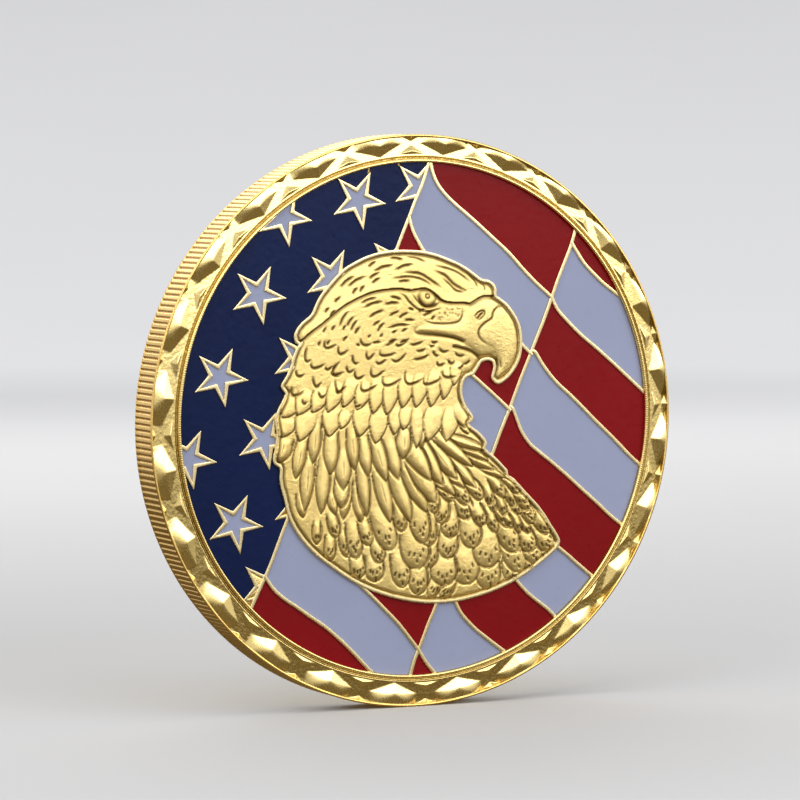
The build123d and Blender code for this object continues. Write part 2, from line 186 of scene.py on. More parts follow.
# ------------------------------------------------------------- design data
LINES = {
    "canton_top": [(0.9, 18.1), (0.33, 16.43), (-0.25, 15.18), (-0.7, 14.1), (-1.18, 13.0), (-1.73, 11.68)],
    "canton_low": [(-9.8, -6.25), (-10.18, -7.15), (-10.68, -8.35), (-11.18, -9.57), (-11.65, -10.57), (-12.22, -11.7), (-12.8, -12.9)],
    "fold_tip": [(-0.7, 14.1), (-0.42, 13.18), (0.03, 12.35), (0.55, 11.55)],
    "wave_1": [(0.9, 18.1), (1.15, 17.1), (1.65, 16.18), (2.58, 15.22), (4.2, 13.93), (5.7, 12.68), (7.08, 11.5), (8.2, 10.35), (9.32, 9.3), (10.47, 8.35)],
    "fold_mid": [(12.35, 13.15), (12.0, 12.05), (11.53, 10.93), (10.95, 9.6), (10.47, 8.35), (9.8, 6.67), (9.28, 5.5), (8.75, 4.3), (7.95, 2.5), (7.22, 0.7), (6.95, 0.1), (6.4, -1.12), (5.7, -2.85)],
    "wave_2": [(12.05, 12.15), (12.45, 11.55), (13.07, 10.7), (13.9, 9.88), (14.8, 9.12), (16.05, 8.25)],
    "wave_3": [(10.47, 8.35), (10.9, 7.5), (11.7, 6.65), (12.82, 5.62), (14.2, 4.55), (15.45, 3.52), (16.7, 2.45), (18.1, 1.25)],
    "wave_4": [(8.85, 4.55), (9.15, 4.5), (9.7, 3.67), (10.32, 2.88), (11.07, 2.12), (11.95, 1.38), (12.95, 0.47), (14.2, -0.7), (15.45, -1.82), (16.7, -3.02), (17.85, -4.0)],
    "wave_5": [(7.85, 5.35), (8.3, 4.85), (8.85, 4.35)],
    "wave_6": [(7.17, 0.68), (7.38, 0.55), (7.7, -0.2), (8.07, -1.07), (8.7, -1.95), (9.32, -2.48), (10.45, -3.33), (11.7, -4.33), (12.95, -5.4), (14.2, -6.45), (15.2, -7.33), (16.35, -8.2)],
    "wave_7": [(4.05, 3.1), (5.2, 2.15), (6.2, 1.3), (7.17, 0.45)],
    "wave_8": [(10.65, -9.15), (11.7, -9.95), (12.7, -10.78), (14.05, -11.85)],
    "wave_9": [(7.65, -11.6), (8.45, -12.45), (9.2, -13.07), (10.2, -13.82), (11.1, -14.7)],
    "wave_10": [(2.9, -12.95), (3.33, -13.75), (3.95, -14.45), (4.58, -15.03), (5.45, -15.7), (6.2, -16.25), (7.15, -16.95)],
    "fold_low": [(1.5, -12.75), (1.25, -13.4), (0.82, -14.32), (0.45, -15.2), (0.03, -16.2), (-0.3, -16.95), (-0.65, -18.1)],
    "fold_low2": [(0.03, -16.2), (0.57, -17.05), (0.97, -17.55), (1.52, -18.15)],
    "wave_11": [(-4.67, -11.25), (-3.55, -12.28), (-2.55, -13.25), (-1.6, -14.2), (-0.8, -15.15), (0.03, -16.2)],
    "wave_12": [(-11.65, -10.57), (-11.18, -11.25), (-10.75, -11.72), (-10.12, -12.22), (-9.3, -12.75), (-8.3, -13.45), (-7.17, -14.22), (-6.17, -15.05), (-5.3, -15.85), (-4.55, -16.6), (-3.8, -17.38), (-3.3, -17.9)],
}
EAGLE = [
    (6.15, 2.4), (6.7, 2.65), (7.2, 3.1), (7.65, 3.75), (7.9, 4.42), (7.97, 5.3), (7.88, 6.1),
    (7.62, 6.8), (7.2, 7.42), (6.75, 7.92), (6.33, 8.22), (5.95, 8.5), (5.95, 8.93), (5.75, 9.3),
    (5.4, 9.53), (4.95, 9.6), (4.58, 9.8), (3.95, 10.25), (3.08, 10.75), (2.08, 11.15), (1.2, 11.45),
    (0.2, 11.65), (-0.8, 11.72), (-1.8, 11.72), (-2.92, 11.6), (-4.05, 11.3), (-5.05, 10.85), (-5.67, 10.5),
    (-6.3, 9.95), (-6.92, 9.3), (-7.42, 8.72), (-7.75, 8.18), (-8.05, 7.55), (-8.3, 7.25), (-8.8, 6.88),
    (-9.18, 6.47), (-9.4, 6), (-9.3, 5.6), (-9.05, 5.4), (-9.28, 5), (-9.55, 4.35), (-9.65, 3.92),
    (-9.97, 3.25), (-10.32, 2.73), (-10.38, 2.48), (-10.07, 2.05), (-10.3, 1.5), (-10.62, 0.93), (-10.85, 0.3),
    (-10.8, -0.2), (-10.7, -0.82), (-10.78, -1.25), (-10.85, -1.82), (-10.97, -2.33), (-10.93, -2.73), (-10.53, -2.98),
    (-10.47, -3.33), (-10.5, -3.83), (-10.4, -4.45), (-10.18, -5.2), (-10.03, -5.83), (-9.88, -6.33), (-9.65, -6.85),
    (-9.3, -7.45), (-8.8, -8.12), (-8.25, -8.72), (-7.55, -9.35), (-6.75, -9.93), (-5.8, -10.6), (-4.55, -11.35),
    (-3.3, -11.9), (-2.05, -12.32), (-0.8, -12.62), (0.45, -12.82), (1.7, -12.88), (2.95, -12.82), (4.2, -12.62),
    (5.45, -12.32), (6.7, -11.9), (7.95, -11.35), (9.2, -10.6), (10.2, -9.9), (10.82, -9.38), (11, -8.95),
    (10.75, -8.45), (10.32, -7.83), (9.82, -7.08), (9.2, -6.33), (8.57, -5.7), (7.83, -4.95), (7.33, -4.45),
    (6.9, -4.2), (6.83, -3.83), (6.58, -3.58), (6.2, -3.2), (5.78, -2.83), (5.33, -2.5), (5.08, -2.2),
    (5.2, -1.82), (4.9, -1.4), (4.45, -1), (3.95, -0.65), (3.83, -0.4), (4.15, -0.05), (3.95, 0.3),
    (3.58, 0.8), (3.33, 1.43), (3.27, 1.93), (3.38, 2.55), (3.7, 2.95), (4.2, 3.1), (4.58, 3.62),
    (4.88, 4), (5.45, 4.08), (5.8, 3.92), (5.9, 3.5), (5.8, 3.05), (5.75, 2.73),
]
STARS = {
    "S1": (-10.18, 14.2),
    "S2": (-4.58, 15.32),
    "S3": (0.12, 16.18),
    "S4": (-12.12, 8.88),
    "S5": (-6.58, 9.95),
    "S6": (-14.97, 3.3),
    "S7": (-9.03, 4.42),
    "S8": (-11.68, -1.12),
    "S9": (-17.32, -2.25),
    "S10": (-13.88, -6.8),
    "S11": (-1.85, 10.85),
    "S12": (-11.57, -11.28),
    "S13": (-9.03, -5.65),
}
FIELD_R = 17.93
LINE_H = 1.21
STAR_R, STAR_IN, STAR_TILT = 2.12, 0.84, 64.3
PHASE, COUNT = 9.2, 24
RIM_FLOOR = 1.20

# Feathers on the drawing grid: base x, base y, tip x, tip y, half width; later ones lie on top
SCALES=[
(1040,1190,1055,1300,40),(1180,1190,1200,1262,30),(1120,1200,1135,1282,34),(1240,1160,1215,1215,26),
(940,1250,905,1318,24),(900,1240,868,1316,20),(560,1120,560,1200,18),(520,1080,520,1150,14),
(960,1170,990,1283,44),(1040,1120,1050,1240,44),(905,1190,915,1283,42),(830,1210,832,1305,30),(765,1170,785,1283,30),
(1105,1130,1150,1256,36),(1170,1140,1205,1236,30),(690,1180,700,1263,30),(638,1180,650,1252,24),(600,1110,618,1192,22),
(870,1150,860,1232,28),(808,1110,832,1232,46),(700,1140,712,1212,22),(1200,1130,1250,1196,30),(1150,1130,1190,1197,28),
(1085,1090,1135,1198,32),(560,1060,580,1135,18),(625,1080,640,1196,26),(655,1080,680,1162,20),
(985,1080,1002,1182,34),(925,1120,922,1208,32),(865,1090,862,1170,26),(930,1070,930,1150,29),
(1190,1080,1245,1147,26),(1150,1100,1180,1145,14),(1125,1080,1150,1143,14),(1040,1060,1075,1140,18),(1070,1060,1110,1125,16),
(700,1050,748,1177,34),(1095,1080,1125,1128,12),(960,1020,985,1100,26),(1000,1050,1035,1120,22),(905,1030,905,1110,24),
(880,1010,880,1080,17),(820,1030,848,1162,32),(770,1040,780,1127,20),(1150,1040,1190,1118,22),(1120,1040,1150,1090,16),
(1080,1030,1100,1092,14),(1050,1025,1070,1080,14),(1100,1000,1135,1068,18),(1130,1000,1178,1080,22),(1040,1000,1060,1060,16),
(890,980,940,1045,22),(935,980,985,1058,22),(985,985,1030,1045,20),(1050,970,1100,1040,18),(1090,970,1150,1032,16),
]
LONG=[
# underlying long feathers, lowest first
(615,960,600,1085,20),(640,1000,655,1095,18),(655,980,672,1080,18),(470,1000,478,1075,16),(560,1000,575,1070,16),
(595,960,595,1053,24),(700,930,745,1098,24),(745,930,806,1098,26),(785,930,856,1073,28),(650,900,672,1075,20),
(1000,935,1100,985,14),(960,905,1065,960,17),(905,905,1010,1010,20),(860,900,975,1010,22),(835,915,945,1030,24),
(800,900,885,1052,32),(500,880,483,1056,22),(545,900,533,1066,22),(925,870,1050,935,15),(900,860,1045,905,16),
(850,860,950,985,24),(815,850,905,1000,26),(600,880,600,1003,26),(865,845,1000,950,20),(480,850,456,966,20),
(770,840,870,985,30),(430,845,402,922,30),(735,850,768,980,24),(690,850,732,983,24),(655,840,676,966,22),
(625,820,634,948,20),(565,830,562,958,24),(520,800,508,926,20),(840,800,840,893,18),(790,830,783,922,24),
]
Z2=[ # second row of the collar
(440,790,404,850,30),(500,770,467,862,30),(575,760,556,852,30),(612,780,592,832,18),(668,760,648,855,30),(715,770,698,876,28),
(762,770,756,853,22),(797,770,783,840,20),(828,770,824,892,20),(890,770,858,874,30),(940,780,915,876,26),(970,800,985,858,20),(955,770,975,840,22),
]
Z1=[ # first row of the collar
(455,740,416,796,26),(500,720,460,790,26),(545,715,506,784,24),(590,700,552,784,24),(635,690,600,772,22),(675,700,642,780,24),(715,690,690,792,24),
(755,690,732,796,24),(800,680,780,778,24),(845,680,822,778,24),(890,670,868,778,24),(925,660,908,758,22),(950,650,940,720,18),
]
SCALLOP=[ # start, low point, end
(652,586,662,602,684,600),(585,606,590,626,614,616),(628,630,632,650,646,652),(670,623,676,641,694,626),(712,621,720,633,758,628),
(748,644,766,649,790,630),(815,646,840,643,862,634),(875,623,882,635,892,636),(895,616,905,626,922,624),(888,654,893,664,910,660),
(922,649,930,659,942,655),(945,629,955,638,972,638),(905,678,910,696,942,696),(720,692,730,716,776,700),(790,678,796,713,842,700),
(848,693,853,716,902,700),(588,648,566,680,600,677),(635,673,641,694,664,687),(685,668,692,691,726,674),(655,706,660,730,702,714),
(575,698,583,730,602,718),(545,588,548,608,578,600),(490,605,486,640,502,640),(502,648,511,663,542,654),
(457,668,464,684,482,680),(508,688,516,713,532,704),(575,655,572,682,594,682),(446,713,450,737,482,724),(524,728,532,744,546,736),
(578,722,584,732,606,716),(475,748,478,760,488,756),(610,660,616,676,632,670),(545,660,552,668,566,660),(700,648,710,655,730,644),
(760,600,772,606,800,588),(730,606,742,600,760,590),(806,604,818,604,842,598),(825,622,838,622,850,618),(870,597,878,600,888,598),
(866,608,872,610,880,606),(952,670,960,672,970,664),(972,660,980,660,990,652),(640,770,642,772,650,768),
]
STROKE=[ # short incised strokes of the head
(592,441,632,412),(615,440,665,413),(628,460,642,444),(650,455,663,438),(678,386,700,371),(695,398,750,383),(680,419,709,402),
(688,431,710,418),(760,395,811,381),(742,361,782,368),(768,428,800,427),(574,482,590,469),(545,510,556,498),(560,520,575,505),
(655,486,700,472),(665,498,717,484),(745,470,776,479),(728,491,768,488),(590,549,613,510),(612,550,631,524),(624,562,641,535),
(636,571,649,554),(680,526,722,508),(692,549,710,538),(705,566,724,543),(742,523,768,512),(770,530,797,516),(740,556,800,550),
(788,536,816,537),(830,514,850,506),(856,521,872,512),(676,581,682,576),(713,580,719,575),(750,571,762,565),(780,567,794,560),
(600,590,612,578),(552,600,558,588),(526,602,530,590),(800,503,815,508),(845,525,872,514),(690,597,712,596),(870,535,880,527),
(740,597,760,590),(775,598,792,592),(540,565,548,552),(566,560,574,548),(640,600,650,604),(600,560,606,548),
]
CURVE=[ # longer incised curves: width, depth, points
(6,1.0,[(790,403),(830,405),(860,420),(900,447)]),(5,.9,[(752,419),(800,414),(842,423),(870,440)]),
(6,1.0,[(880,400),(912,412),(938,436),(978,458)]),(5,.9,[(905,420),(930,440),(946,455),(974,460)]),
(5,.8,[(985,408),(1006,428),(1014,448)]),(4,.8,[(1028,433),(1036,446),(1034,456)]),(5,.8,[(885,385),(935,397),(965,412),(990,432)]),
(5,.8,[(792,357),(822,361),(852,374)]),(5,.9,[(765,457),(786,466),(803,486),(828,505),(862,512),(897,505)]),
(4,.8,[(806,456),(822,477),(848,498),(878,498),(902,484)]),
(4,.7,[(966,500),(964,528),(950,543),(915,547),(875,545),(848,538)]),
(5,.9,[(1100,497),(1076,503),(1062,517),(1056,534),(1034,548),(1018,564),(1016,582),(1026,598),(1038,604)]),
(4,1.0,[(1008,538),(1006,526),(1018,515),(1032,513),(1034,522),(1024,533),(1010,541)]),
(3,.5,[(1072,640),(1078,668),(1074,690)]),(3,.5,[(1084,652),(1088,676)]),
]
BROW=[(462,590),(480,580),(505,560),(535,540),(570,514),(600,492),(640,472),(680,457),(720,449),(770,446),(805,450),(835,447),(858,449),(880,462),(902,480),(930,487),(968,488),(990,490),(1012,478),(1035,470),(1064,471)]
GAPE=[(838,545),(824,552),(818,564),(828,574),(860,577),(900,581),(940,588),(968,598)]
JAW=[(940,612),(968,618),(996,628),(1016,642),(1026,652)]



def P(px, py):
    """The eagle's drawing grid, 40 units to a millimetre, to design mm."""
    return (px - 832) / 40.0, (812 - py) / 40.0


# ---------------------------------------------------------------- materials
def new_mat(name):
    m = bpy.data.materials.new(name)
    m.use_nodes = True
    nt = m.node_tree
    for n in list(nt.nodes):
        nt.nodes.remove(n)
    out = nt.nodes.new("ShaderNodeOutputMaterial")
    b = nt.nodes.new("ShaderNodeBsdfPrincipled")
    nt.links.new(b.outputs["BSDF"], out.inputs["Surface"])
    tc = nt.nodes.new("ShaderNodeTexCoord")
    return m, nt, b, tc


def noise(nt, tc, scale, detail=3.0, rough=0.55):
    n = nt.nodes.new("ShaderNodeTexNoise")
    n.inputs["Scale"].default_value = scale
    n.inputs["Detail"].default_value = detail
    n.inputs["Roughness"].default_value = rough
    nt.links.new(tc.outputs["Object"], n.inputs["Vector"])
    return n


def ramp(nt, src, stops):
    r = nt.nodes.new("ShaderNodeValToRGB")
    e = r.color_ramp.elements
    while len(e) < len(stops):
        e.new(0.5)
    for el, (p, c) in zip(e, stops):
        el.position = p
        el.color = (*c, 1) if len(c) == 3 else c
    nt.links.new(src, r.inputs["Fac"])
    return r


def map_range(nt, src, a, b, c, d):
    m = nt.nodes.new("ShaderNodeMapRange")
    m.inputs["From Min"].default_value = a
    m.inputs["From Max"].default_value = b
    m.inputs["To Min"].default_value = c
    m.inputs["To Max"].default_value = d
    nt.links.new(src, m.inputs["Value"])
    return m


def bump(nt, b, src, strength, dist):
    n = nt.nodes.new("ShaderNodeBump")
    n.inputs["Strength"].default_value = strength
    n.inputs["Distance"].default_value = dist
    nt.links.new(src, n.inputs["Height"])
    nt.links.new(n.outputs["Normal"], b.inputs["Normal"])
    return n


def gold(name, light, dark, rough, grain_scale, grain, rough_var=0.06,
         toning_and_painted_light=None):
    m, nt, b, tc = new_mat(name)
    b.inputs["Metallic"].default_value = 1.0
    big = noise(nt, tc, 160, 4)
    col = ramp(nt, big.outputs["Fac"], [(0.30, dark), (0.70, light)])
    # Painted shade, with some toning on the eagle: the attribute mixes the base colour toward the given dark colour in
    # grooves and hollows.
    if toning_and_painted_light is not None:
        at = nt.nodes.new("ShaderNodeAttribute")
        at.attribute_name = "toning_and_painted_light"
        mix = nt.nodes.new("ShaderNodeMix")
        mix.data_type = "RGBA"
        nt.links.new(at.outputs["Fac"], mix.inputs["Factor"])
        nt.links.new(col.outputs["Color"], mix.inputs[6])
        mix.inputs[7].default_value = (*toning_and_painted_light, 1)
        nt.links.new(mix.outputs[2], b.inputs["Base Color"])
    else:
        nt.links.new(col.outputs["Color"], b.inputs["Base Color"])
    fine = noise(nt, tc, grain_scale, 2)
    r = map_range(nt, fine.outputs["Fac"], 0.3, 0.7, rough - rough_var,
                  rough + rough_var)
    nt.links.new(r.outputs["Result"], b.inputs["Roughness"])
    bump(nt, b, fine.outputs["Fac"], grain, 0.00003)
    return m


def enamel(name, light, dark, peel):
    m, nt, b, tc = new_mat(name)
    b.inputs["Metallic"].default_value = 0.0
    b.inputs["IOR"].default_value = 1.45
    b.inputs["Specular IOR Level"].default_value = 0.16
    b.inputs["Coat Weight"].default_value = 0.04
    b.inputs["Coat Roughness"].default_value = 0.12
    big = noise(nt, tc, 95, 4)
    col = ramp(nt, big.outputs["Fac"], [(0.25, dark), (0.75, light)])
    nt.links.new(col.outputs["Color"], b.inputs["Base Color"])
    mid = noise(nt, tc, 1500, 3)
    r = map_range(nt, mid.outputs["Fac"], 0.3, 0.7, 0.26, 0.38)
    nt.links.new(r.outputs["Result"], b.inputs["Roughness"])
    peelx = noise(nt, tc, 1900, 2, 0.4)
    bump(nt, b, peelx.outputs["Fac"], peel, 0.00005)
    return m


GOLD_L = (0.98, 0.76, 0.36)
GOLD_D = (0.90, 0.66, 0.27)
# The last colour of each gold is the painted shade for its grooves and hollows; on the eagle it stands for toning as
# well.
M_RIM = gold("gold_polished_rim", (1.0, 0.79, 0.35), (0.97, 0.74, 0.29), 0.25,
             9000, 0.12, toning_and_painted_light=(0.36, 0.22, 0.03))
M_LINE = gold("gold_raised_lines", (1.0, 0.84, 0.50), (0.97, 0.79, 0.42), 0.24,
              7000, 0.12)
M_EAGLE = gold("gold_sandblasted", (0.92, 0.715, 0.295), (0.87, 0.65, 0.24), 0.34,
               15000, 0.85, rough_var=0.07, toning_and_painted_light=(0.10, 0.048, 0.005))
M_EDGE = gold("gold_reeded_edge", (0.95, 0.65, 0.22), (0.88, 0.57, 0.17), 0.28,
              5000, 0.15, toning_and_painted_light=(0.40, 0.19, 0.03))
M_BACK = gold("gold_reverse_ground", (0.97, 0.76, 0.37), (0.91, 0.68, 0.29),
              0.38, 12000, 0.45, toning_and_painted_light=(0.25, 0.15, 0.03))
M_RED = enamel("enamel_red", (0.235, 0.002, 0.005), (0.195, 0.001, 0.003), 0.30)
M_WHITE = enamel("enamel_white", (0.33, 0.365, 0.545), (0.305, 0.34, 0.51), 0.18)
M_BLUE = enamel("enamel_blue", (0.002, 0.011, 0.072), (0.001, 0.007, 0.050), 0.34)


def set_attr(ob, values):
    # The attribute holds painted shade on the coin's pieces and the painted glow of the studio floor.
    a = ob.data.attributes.new("toning_and_painted_light", "FLOAT", "POINT")
    a.data.foreach_set("value", np.asarray(values, np.float32).ravel())


def finish_piece(ob, mat):
    ob.data.materials.clear()
    ob.data.materials.append(mat)
    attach(ob, "root")
    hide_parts("coin_body")
    return ob


# ------------------------------------------------------------ blank and edge
def build_edge():
    per = 8
    n = 300 * per
    th = np.arange(n) * 2 * np.pi / n
    g = np.zeros(per)
    g[per // 2] = 1.0
    g[per // 2 - 1] = g[per // 2 + 1] = 0.50
    g = np.tile(g, 300)
    rows = [(19.85, LIP_H - 0.01, 0), (19.88, LIP_H + 0.004, 0), (19.93, LIP_H + 0.002, 0), (19.97, LIP_H - 0.012, 0),
            (19.995, 1.43, 0), (20.0, 1.40, 0), (19.99, 1.38, 0.15), (19.985, 1.355, 0.8),
            (19.985, 1.32, 1), (19.985, 0.8, 1), (19.985, 0.0, 1)]
    rows = rows + [(r, -h, m) for r, h, m in rows[-2::-1]]
    co, painted_shade = [], []
    for r, h, m in rows:
        rr = r - 0.105 * g * m
        co.append(world(rr * np.cos(th), rr * np.sin(th), h))
        # Painted shade: the grooves between the reeds are darkened.
        painted_shade.append(g * m)
    ob = make_mesh("reeded_edge_band", np.concatenate(co), grid_quads(len(rows), n, True))
    set_attr(ob, np.concatenate(painted_shade) ** 1.4)
    return finish_piece(ob, M_EDGE)


# ------------------------------------------------------------------- rims
GROUND_IN, GROUND_OUT = 1.28, 1.09        # the rim's ground falls outward
LIP_H = 1.462


def ground(r):
    t = np.clip((r - 18.35) / 1.5, 0, 1)
    return GROUND_IN + (GROUND_OUT - GROUND_IN) * t


def soft_max(a, b, k):
    return 0.5 * (a + b + np.sqrt((a - b) ** 2 + k * k)) - 0.15 * k


def rim_height(r, phi, r_blank):
    """Height of the faceted rim; phi in degrees from a diamond's middle."""
    u = np.radians(phi) * r
    per = 360 / COUNT
    side = np.where(phi > 0, phi - per / 2, phi + per / 2)
    u2 = np.radians(side) * r
    g = ground(r)
    v = r - 19.26
    # inner half: two flat facets that meet in a ridge; outer half: one dome
    au = np.abs(u) / 1.84
    d_in = 1.492 - (1.492 - 1.165) * (au + np.abs(v) / 0.86 * 0.78)
    w = np.clip(v / 0.58, 0, 1.3)
    d_out = 1.492 - (1.492 - 1.165) * np.minimum(au, 3) ** (1 + 1.3 * w) - 0.085 * w ** 1.5
    dia = np.where(v < 0, d_in, d_out)
    dia = np.where(dia > 1.465, 1.465 + (dia - 1.465) * 0.6, dia)
    h = np.where(au < 1.35, soft_max(g, dia, 0.010), g)
    d1 = (r - 18.50) / 0.19
    e = 1 - np.abs(u2) / 1.05 - (r - 18.50) / 0.70
    kite = g - 0.01 + 0.125 * np.minimum(d1, e / 0.70)
    h = np.where((d1 > -0.3) & (e > -0.3), soft_max(h, kite, 0.008), h)
    t = 1 - np.abs(u2) / 0.62 - (19.84 - r_blank) / 0.30
    tri = g - 0.01 + 0.37 * np.clip(t, -0.2, 1)
    h = np.where(t > -0.2, soft_max(h, tri, 0.010), h)
    lip = smoothstep(19.81, 19.865, r_blank)
    h = h * (1 - lip) + LIP_H * lip
    return h - smoothstep(18.36, 18.30, r) * 0.09, g


def build_rim(name, sign, cols_per, rows, ox, oy):
    n = COUNT * cols_per
    th = np.radians(np.arange(n) * 360.0 / n)
    f = np.concatenate([np.linspace(0, 0.945, rows), np.linspace(0.953, 1.0, 6)])
    T, S = np.meshgrid(th, f)
    X = (1 - S) * (ox + 18.16 * np.cos(T)) + S * 19.89 * np.cos(T)
    Y = (1 - S) * (oy + 18.16 * np.sin(T)) + S * 19.89 * np.sin(T)
    rb = np.hypot(X, Y)
    rd = np.hypot(X - ox, Y - oy)
    td = np.degrees(np.arctan2(Y - oy, X - ox))
    phi = (td - PHASE + 180 / COUNT) % (360 / COUNT) - 180 / COUNT
    H, g = rim_height(rd, phi, rb)
    raised = H - g
    grain = value_noise(X, Y, 0.075, 3) * 0.005 + value_noise(X, Y, 0.19, 4) * 0.004
    H = H + grain * np.clip(1 - raised / 0.05, 0.15, 1)
    co = world(X, Y, sign * H).reshape(-1, 3)
    ob = make_mesh(name, co, grid_quads(len(f), n, True, flip=sign < 0))
    # Painted shade: the low ground between the diamonds, the groove by the inner ring and the lip's inner wall are
    # darkened.
    painted_shade = np.clip(0.16 * (1 - raised / 0.04), 0, 0.16)
    painted_shade = np.maximum(painted_shade, smoothstep(18.42, 18.32, rd) * 0.75)
    wall = smoothstep(19.79, 19.82, rb) * smoothstep(19.874, 19.858, rb)
    painted_shade = np.maximum(painted_shade, wall * 0.9 * (raised < 0.30))
    set_attr(ob, painted_shade)
    return finish_piece(ob, M_RIM)


def build_ring(name, sign):
    n = 720 * 4
    th = np.arange(n) * 2 * np.pi / n
    ridge = np.tile([0, 0.6, 1, 0.6], 720)
    rows = [(17.90, 0.95, 0), (17.915, 1.18, 0), (17.925, 1.33, .4), (17.955, 1.395, 1), (18.00, 1.42, 1),
            (18.07, 1.42, 1), (18.12, 1.40, 1), (18.155, 1.34, .6), (18.17, 1.22, 0), (18.19, 1.02, 0)]
    co, painted_shade = [], []
    for r, h, m in rows:
        hh = h + 0.007 * (ridge - 0.5) * m
        place = obverse if sign > 0 else world
        co.append(place(r * np.cos(th), r * np.sin(th), sign * hh))
        # Painted shade: darker between the beads and on the ring's steep sides.
        painted_shade.append(0.18 * (1 - ridge) * m + (0.0 if m else 0.6))
    ob = make_mesh(name, np.concatenate(co), grid_quads(len(rows), n, True, flip=sign < 0))
    set_attr(ob, np.concatenate(painted_shade))
    return finish_piece(ob, M_RIM)


# ------------------------------------------------------------- flag lines
def canton_clip(p):
    """Keeps a star's outline on the canton side of its edge line and inside the ring."""
    p = p.copy()
    r = np.hypot(p[:, 0], p[:, 1])
    f = np.minimum(1, 18.02 / np.maximum(r, 1e-6))
    p *= f[:, None]
    edge = np.array([(0.97, 18.3), (0.33, 16.43), (-0.25, 15.18), (-0.7, 14.1), (-1.73, 11.68),
                     (-9.8, -6.25), (-10.68, -8.35), (-11.65, -10.57), (-12.8, -12.9), (-13.2, -13.7)])
    order = np.argsort(edge[:, 1])
    lim = np.interp(p[:, 1], edge[order, 1], edge[order, 0])
    over = p[:, 0] > lim
    p[over, 0] = lim[over]
    return p


def ribbon(points, width, top, closed=False, base=0.98, step=0.10, smooth=True, clip=None):
    pts = smooth_line(points, step, closed) if smooth else np.asarray(points, float)
    if not closed:                        # run a little into the junctions
        a, b = pts[0] - pts[1], pts[-1] - pts[-2]
        pts = np.vstack([pts[:1] + a / np.hypot(*a) * 0.08, pts, pts[-1:] + b / np.hypot(*b) * 0.08])
    nn = normals_2d(pts, closed)
    prof = [(-0.60, base), (-0.59, top - 0.07), (-0.56, top - 0.018), (-0.51, top - 0.003), (-0.45, top),
            (0.45, top), (0.51, top - 0.003), (0.56, top - 0.018), (0.59, top - 0.07), (0.60, base)]
    co = []
    for o, h in prof:
        q = pts + nn * o * width
        if clip is not None:
            q = clip(q)
        co.append(obverse(q[:, 0], q[:, 1], h))
    return np.concatenate(co), len(prof), len(pts), closed


def join_ribbons(name, parts, mat):
    cos, quads, base = [], [], 0
    for co, rows, n, closed in parts:
        cos.append(co)
        quads.append(grid_quads(rows, n, wrap=closed, flip=True) + base)
        base += len(co)
    ob = make_mesh(name, np.concatenate(cos), np.concatenate(quads))
    return finish_piece(ob, mat)


def star_outline(centre, inset, rounding=0.07, per=5):
    """Rounded outline of a star, moved in by inset."""
    pts = []
    for i in range(10):
        r = STAR_R if i % 2 == 0 else STAR_IN
        a = math.radians(STAR_TILT + 36 * i)
        pts.append((r * math.cos(a), r * math.sin(a)))
    pts = np.array(pts)
    nxt, prv = np.roll(pts, -1, 0), np.roll(pts, 1, 0)
    u = pts - prv
    v = nxt - pts
    u /= np.hypot(*u.T)[:, None]
    v /= np.hypot(*v.T)[:, None]
    n1 = np.stack([u[:, 1], -u[:, 0]], -1)
    n2 = np.stack([v[:, 1], -v[:, 0]], -1)
    m = n1 + n2
    k = np.maximum(1 + (n1 * n2).sum(1), 0.35)
    pts = pts - m / k[:, None] * inset
    out = []
    for i in range(10):
        a, p, b = pts[i - 1], pts[i], pts[(i + 1) % 10]
        la, lb = np.hypot(*(a - p)), np.hypot(*(b - p))
        q0 = p + (a - p) / la * min(rounding, la * 0.4)
        q1 = p + (b - p) / lb * min(rounding, lb * 0.4)
        for t in np.linspace(0, 1, per):
            out.append((1 - t) ** 2 * q0 + 2 * t * (1 - t) * p + t * t * q1)
        for t in (0.25, 0.5, 0.75):
            nx = pts[(i + 1) % 10]
            out.append(q1 + (nx + (p - nx) / np.hypot(*(p - nx)) * min(rounding, la * 0.4) - q1) * t)
    return np.array(out) + np.array(centre)


def build_stars():
    parts = []
    for k, (name, c) in enumerate(STARS.items()):
        top = LINE_H - 0.004 - 0.0015 * k
        prof = [(-0.040, 0.98), (-0.036, top - 0.07), (-0.026, top - 0.018), (-0.010, top - 0.003), (0.008, top),
                (0.232, top), (0.250, top - 0.003), (0.266, top - 0.018), (0.276, top - 0.07), (0.28, 0.98)]
        rows = []
        for o, h in prof:
            q = canton_clip(star_outline(c, o))
            rows.append(obverse(q[:, 0], q[:, 1], h))
        parts.append((np.concatenate(rows), len(prof), len(q), True))
    cos, quads, base = [], [], 0
    for co, rows, n, closed in parts:
        cos.append(co)
        quads.append(grid_quads(rows, n, wrap=True, flip=False) + base)
        base += len(co)
    ob = make_mesh("star_outlines", np.concatenate(cos), np.concatenate(quads))
    return finish_piece(ob, M_LINE)


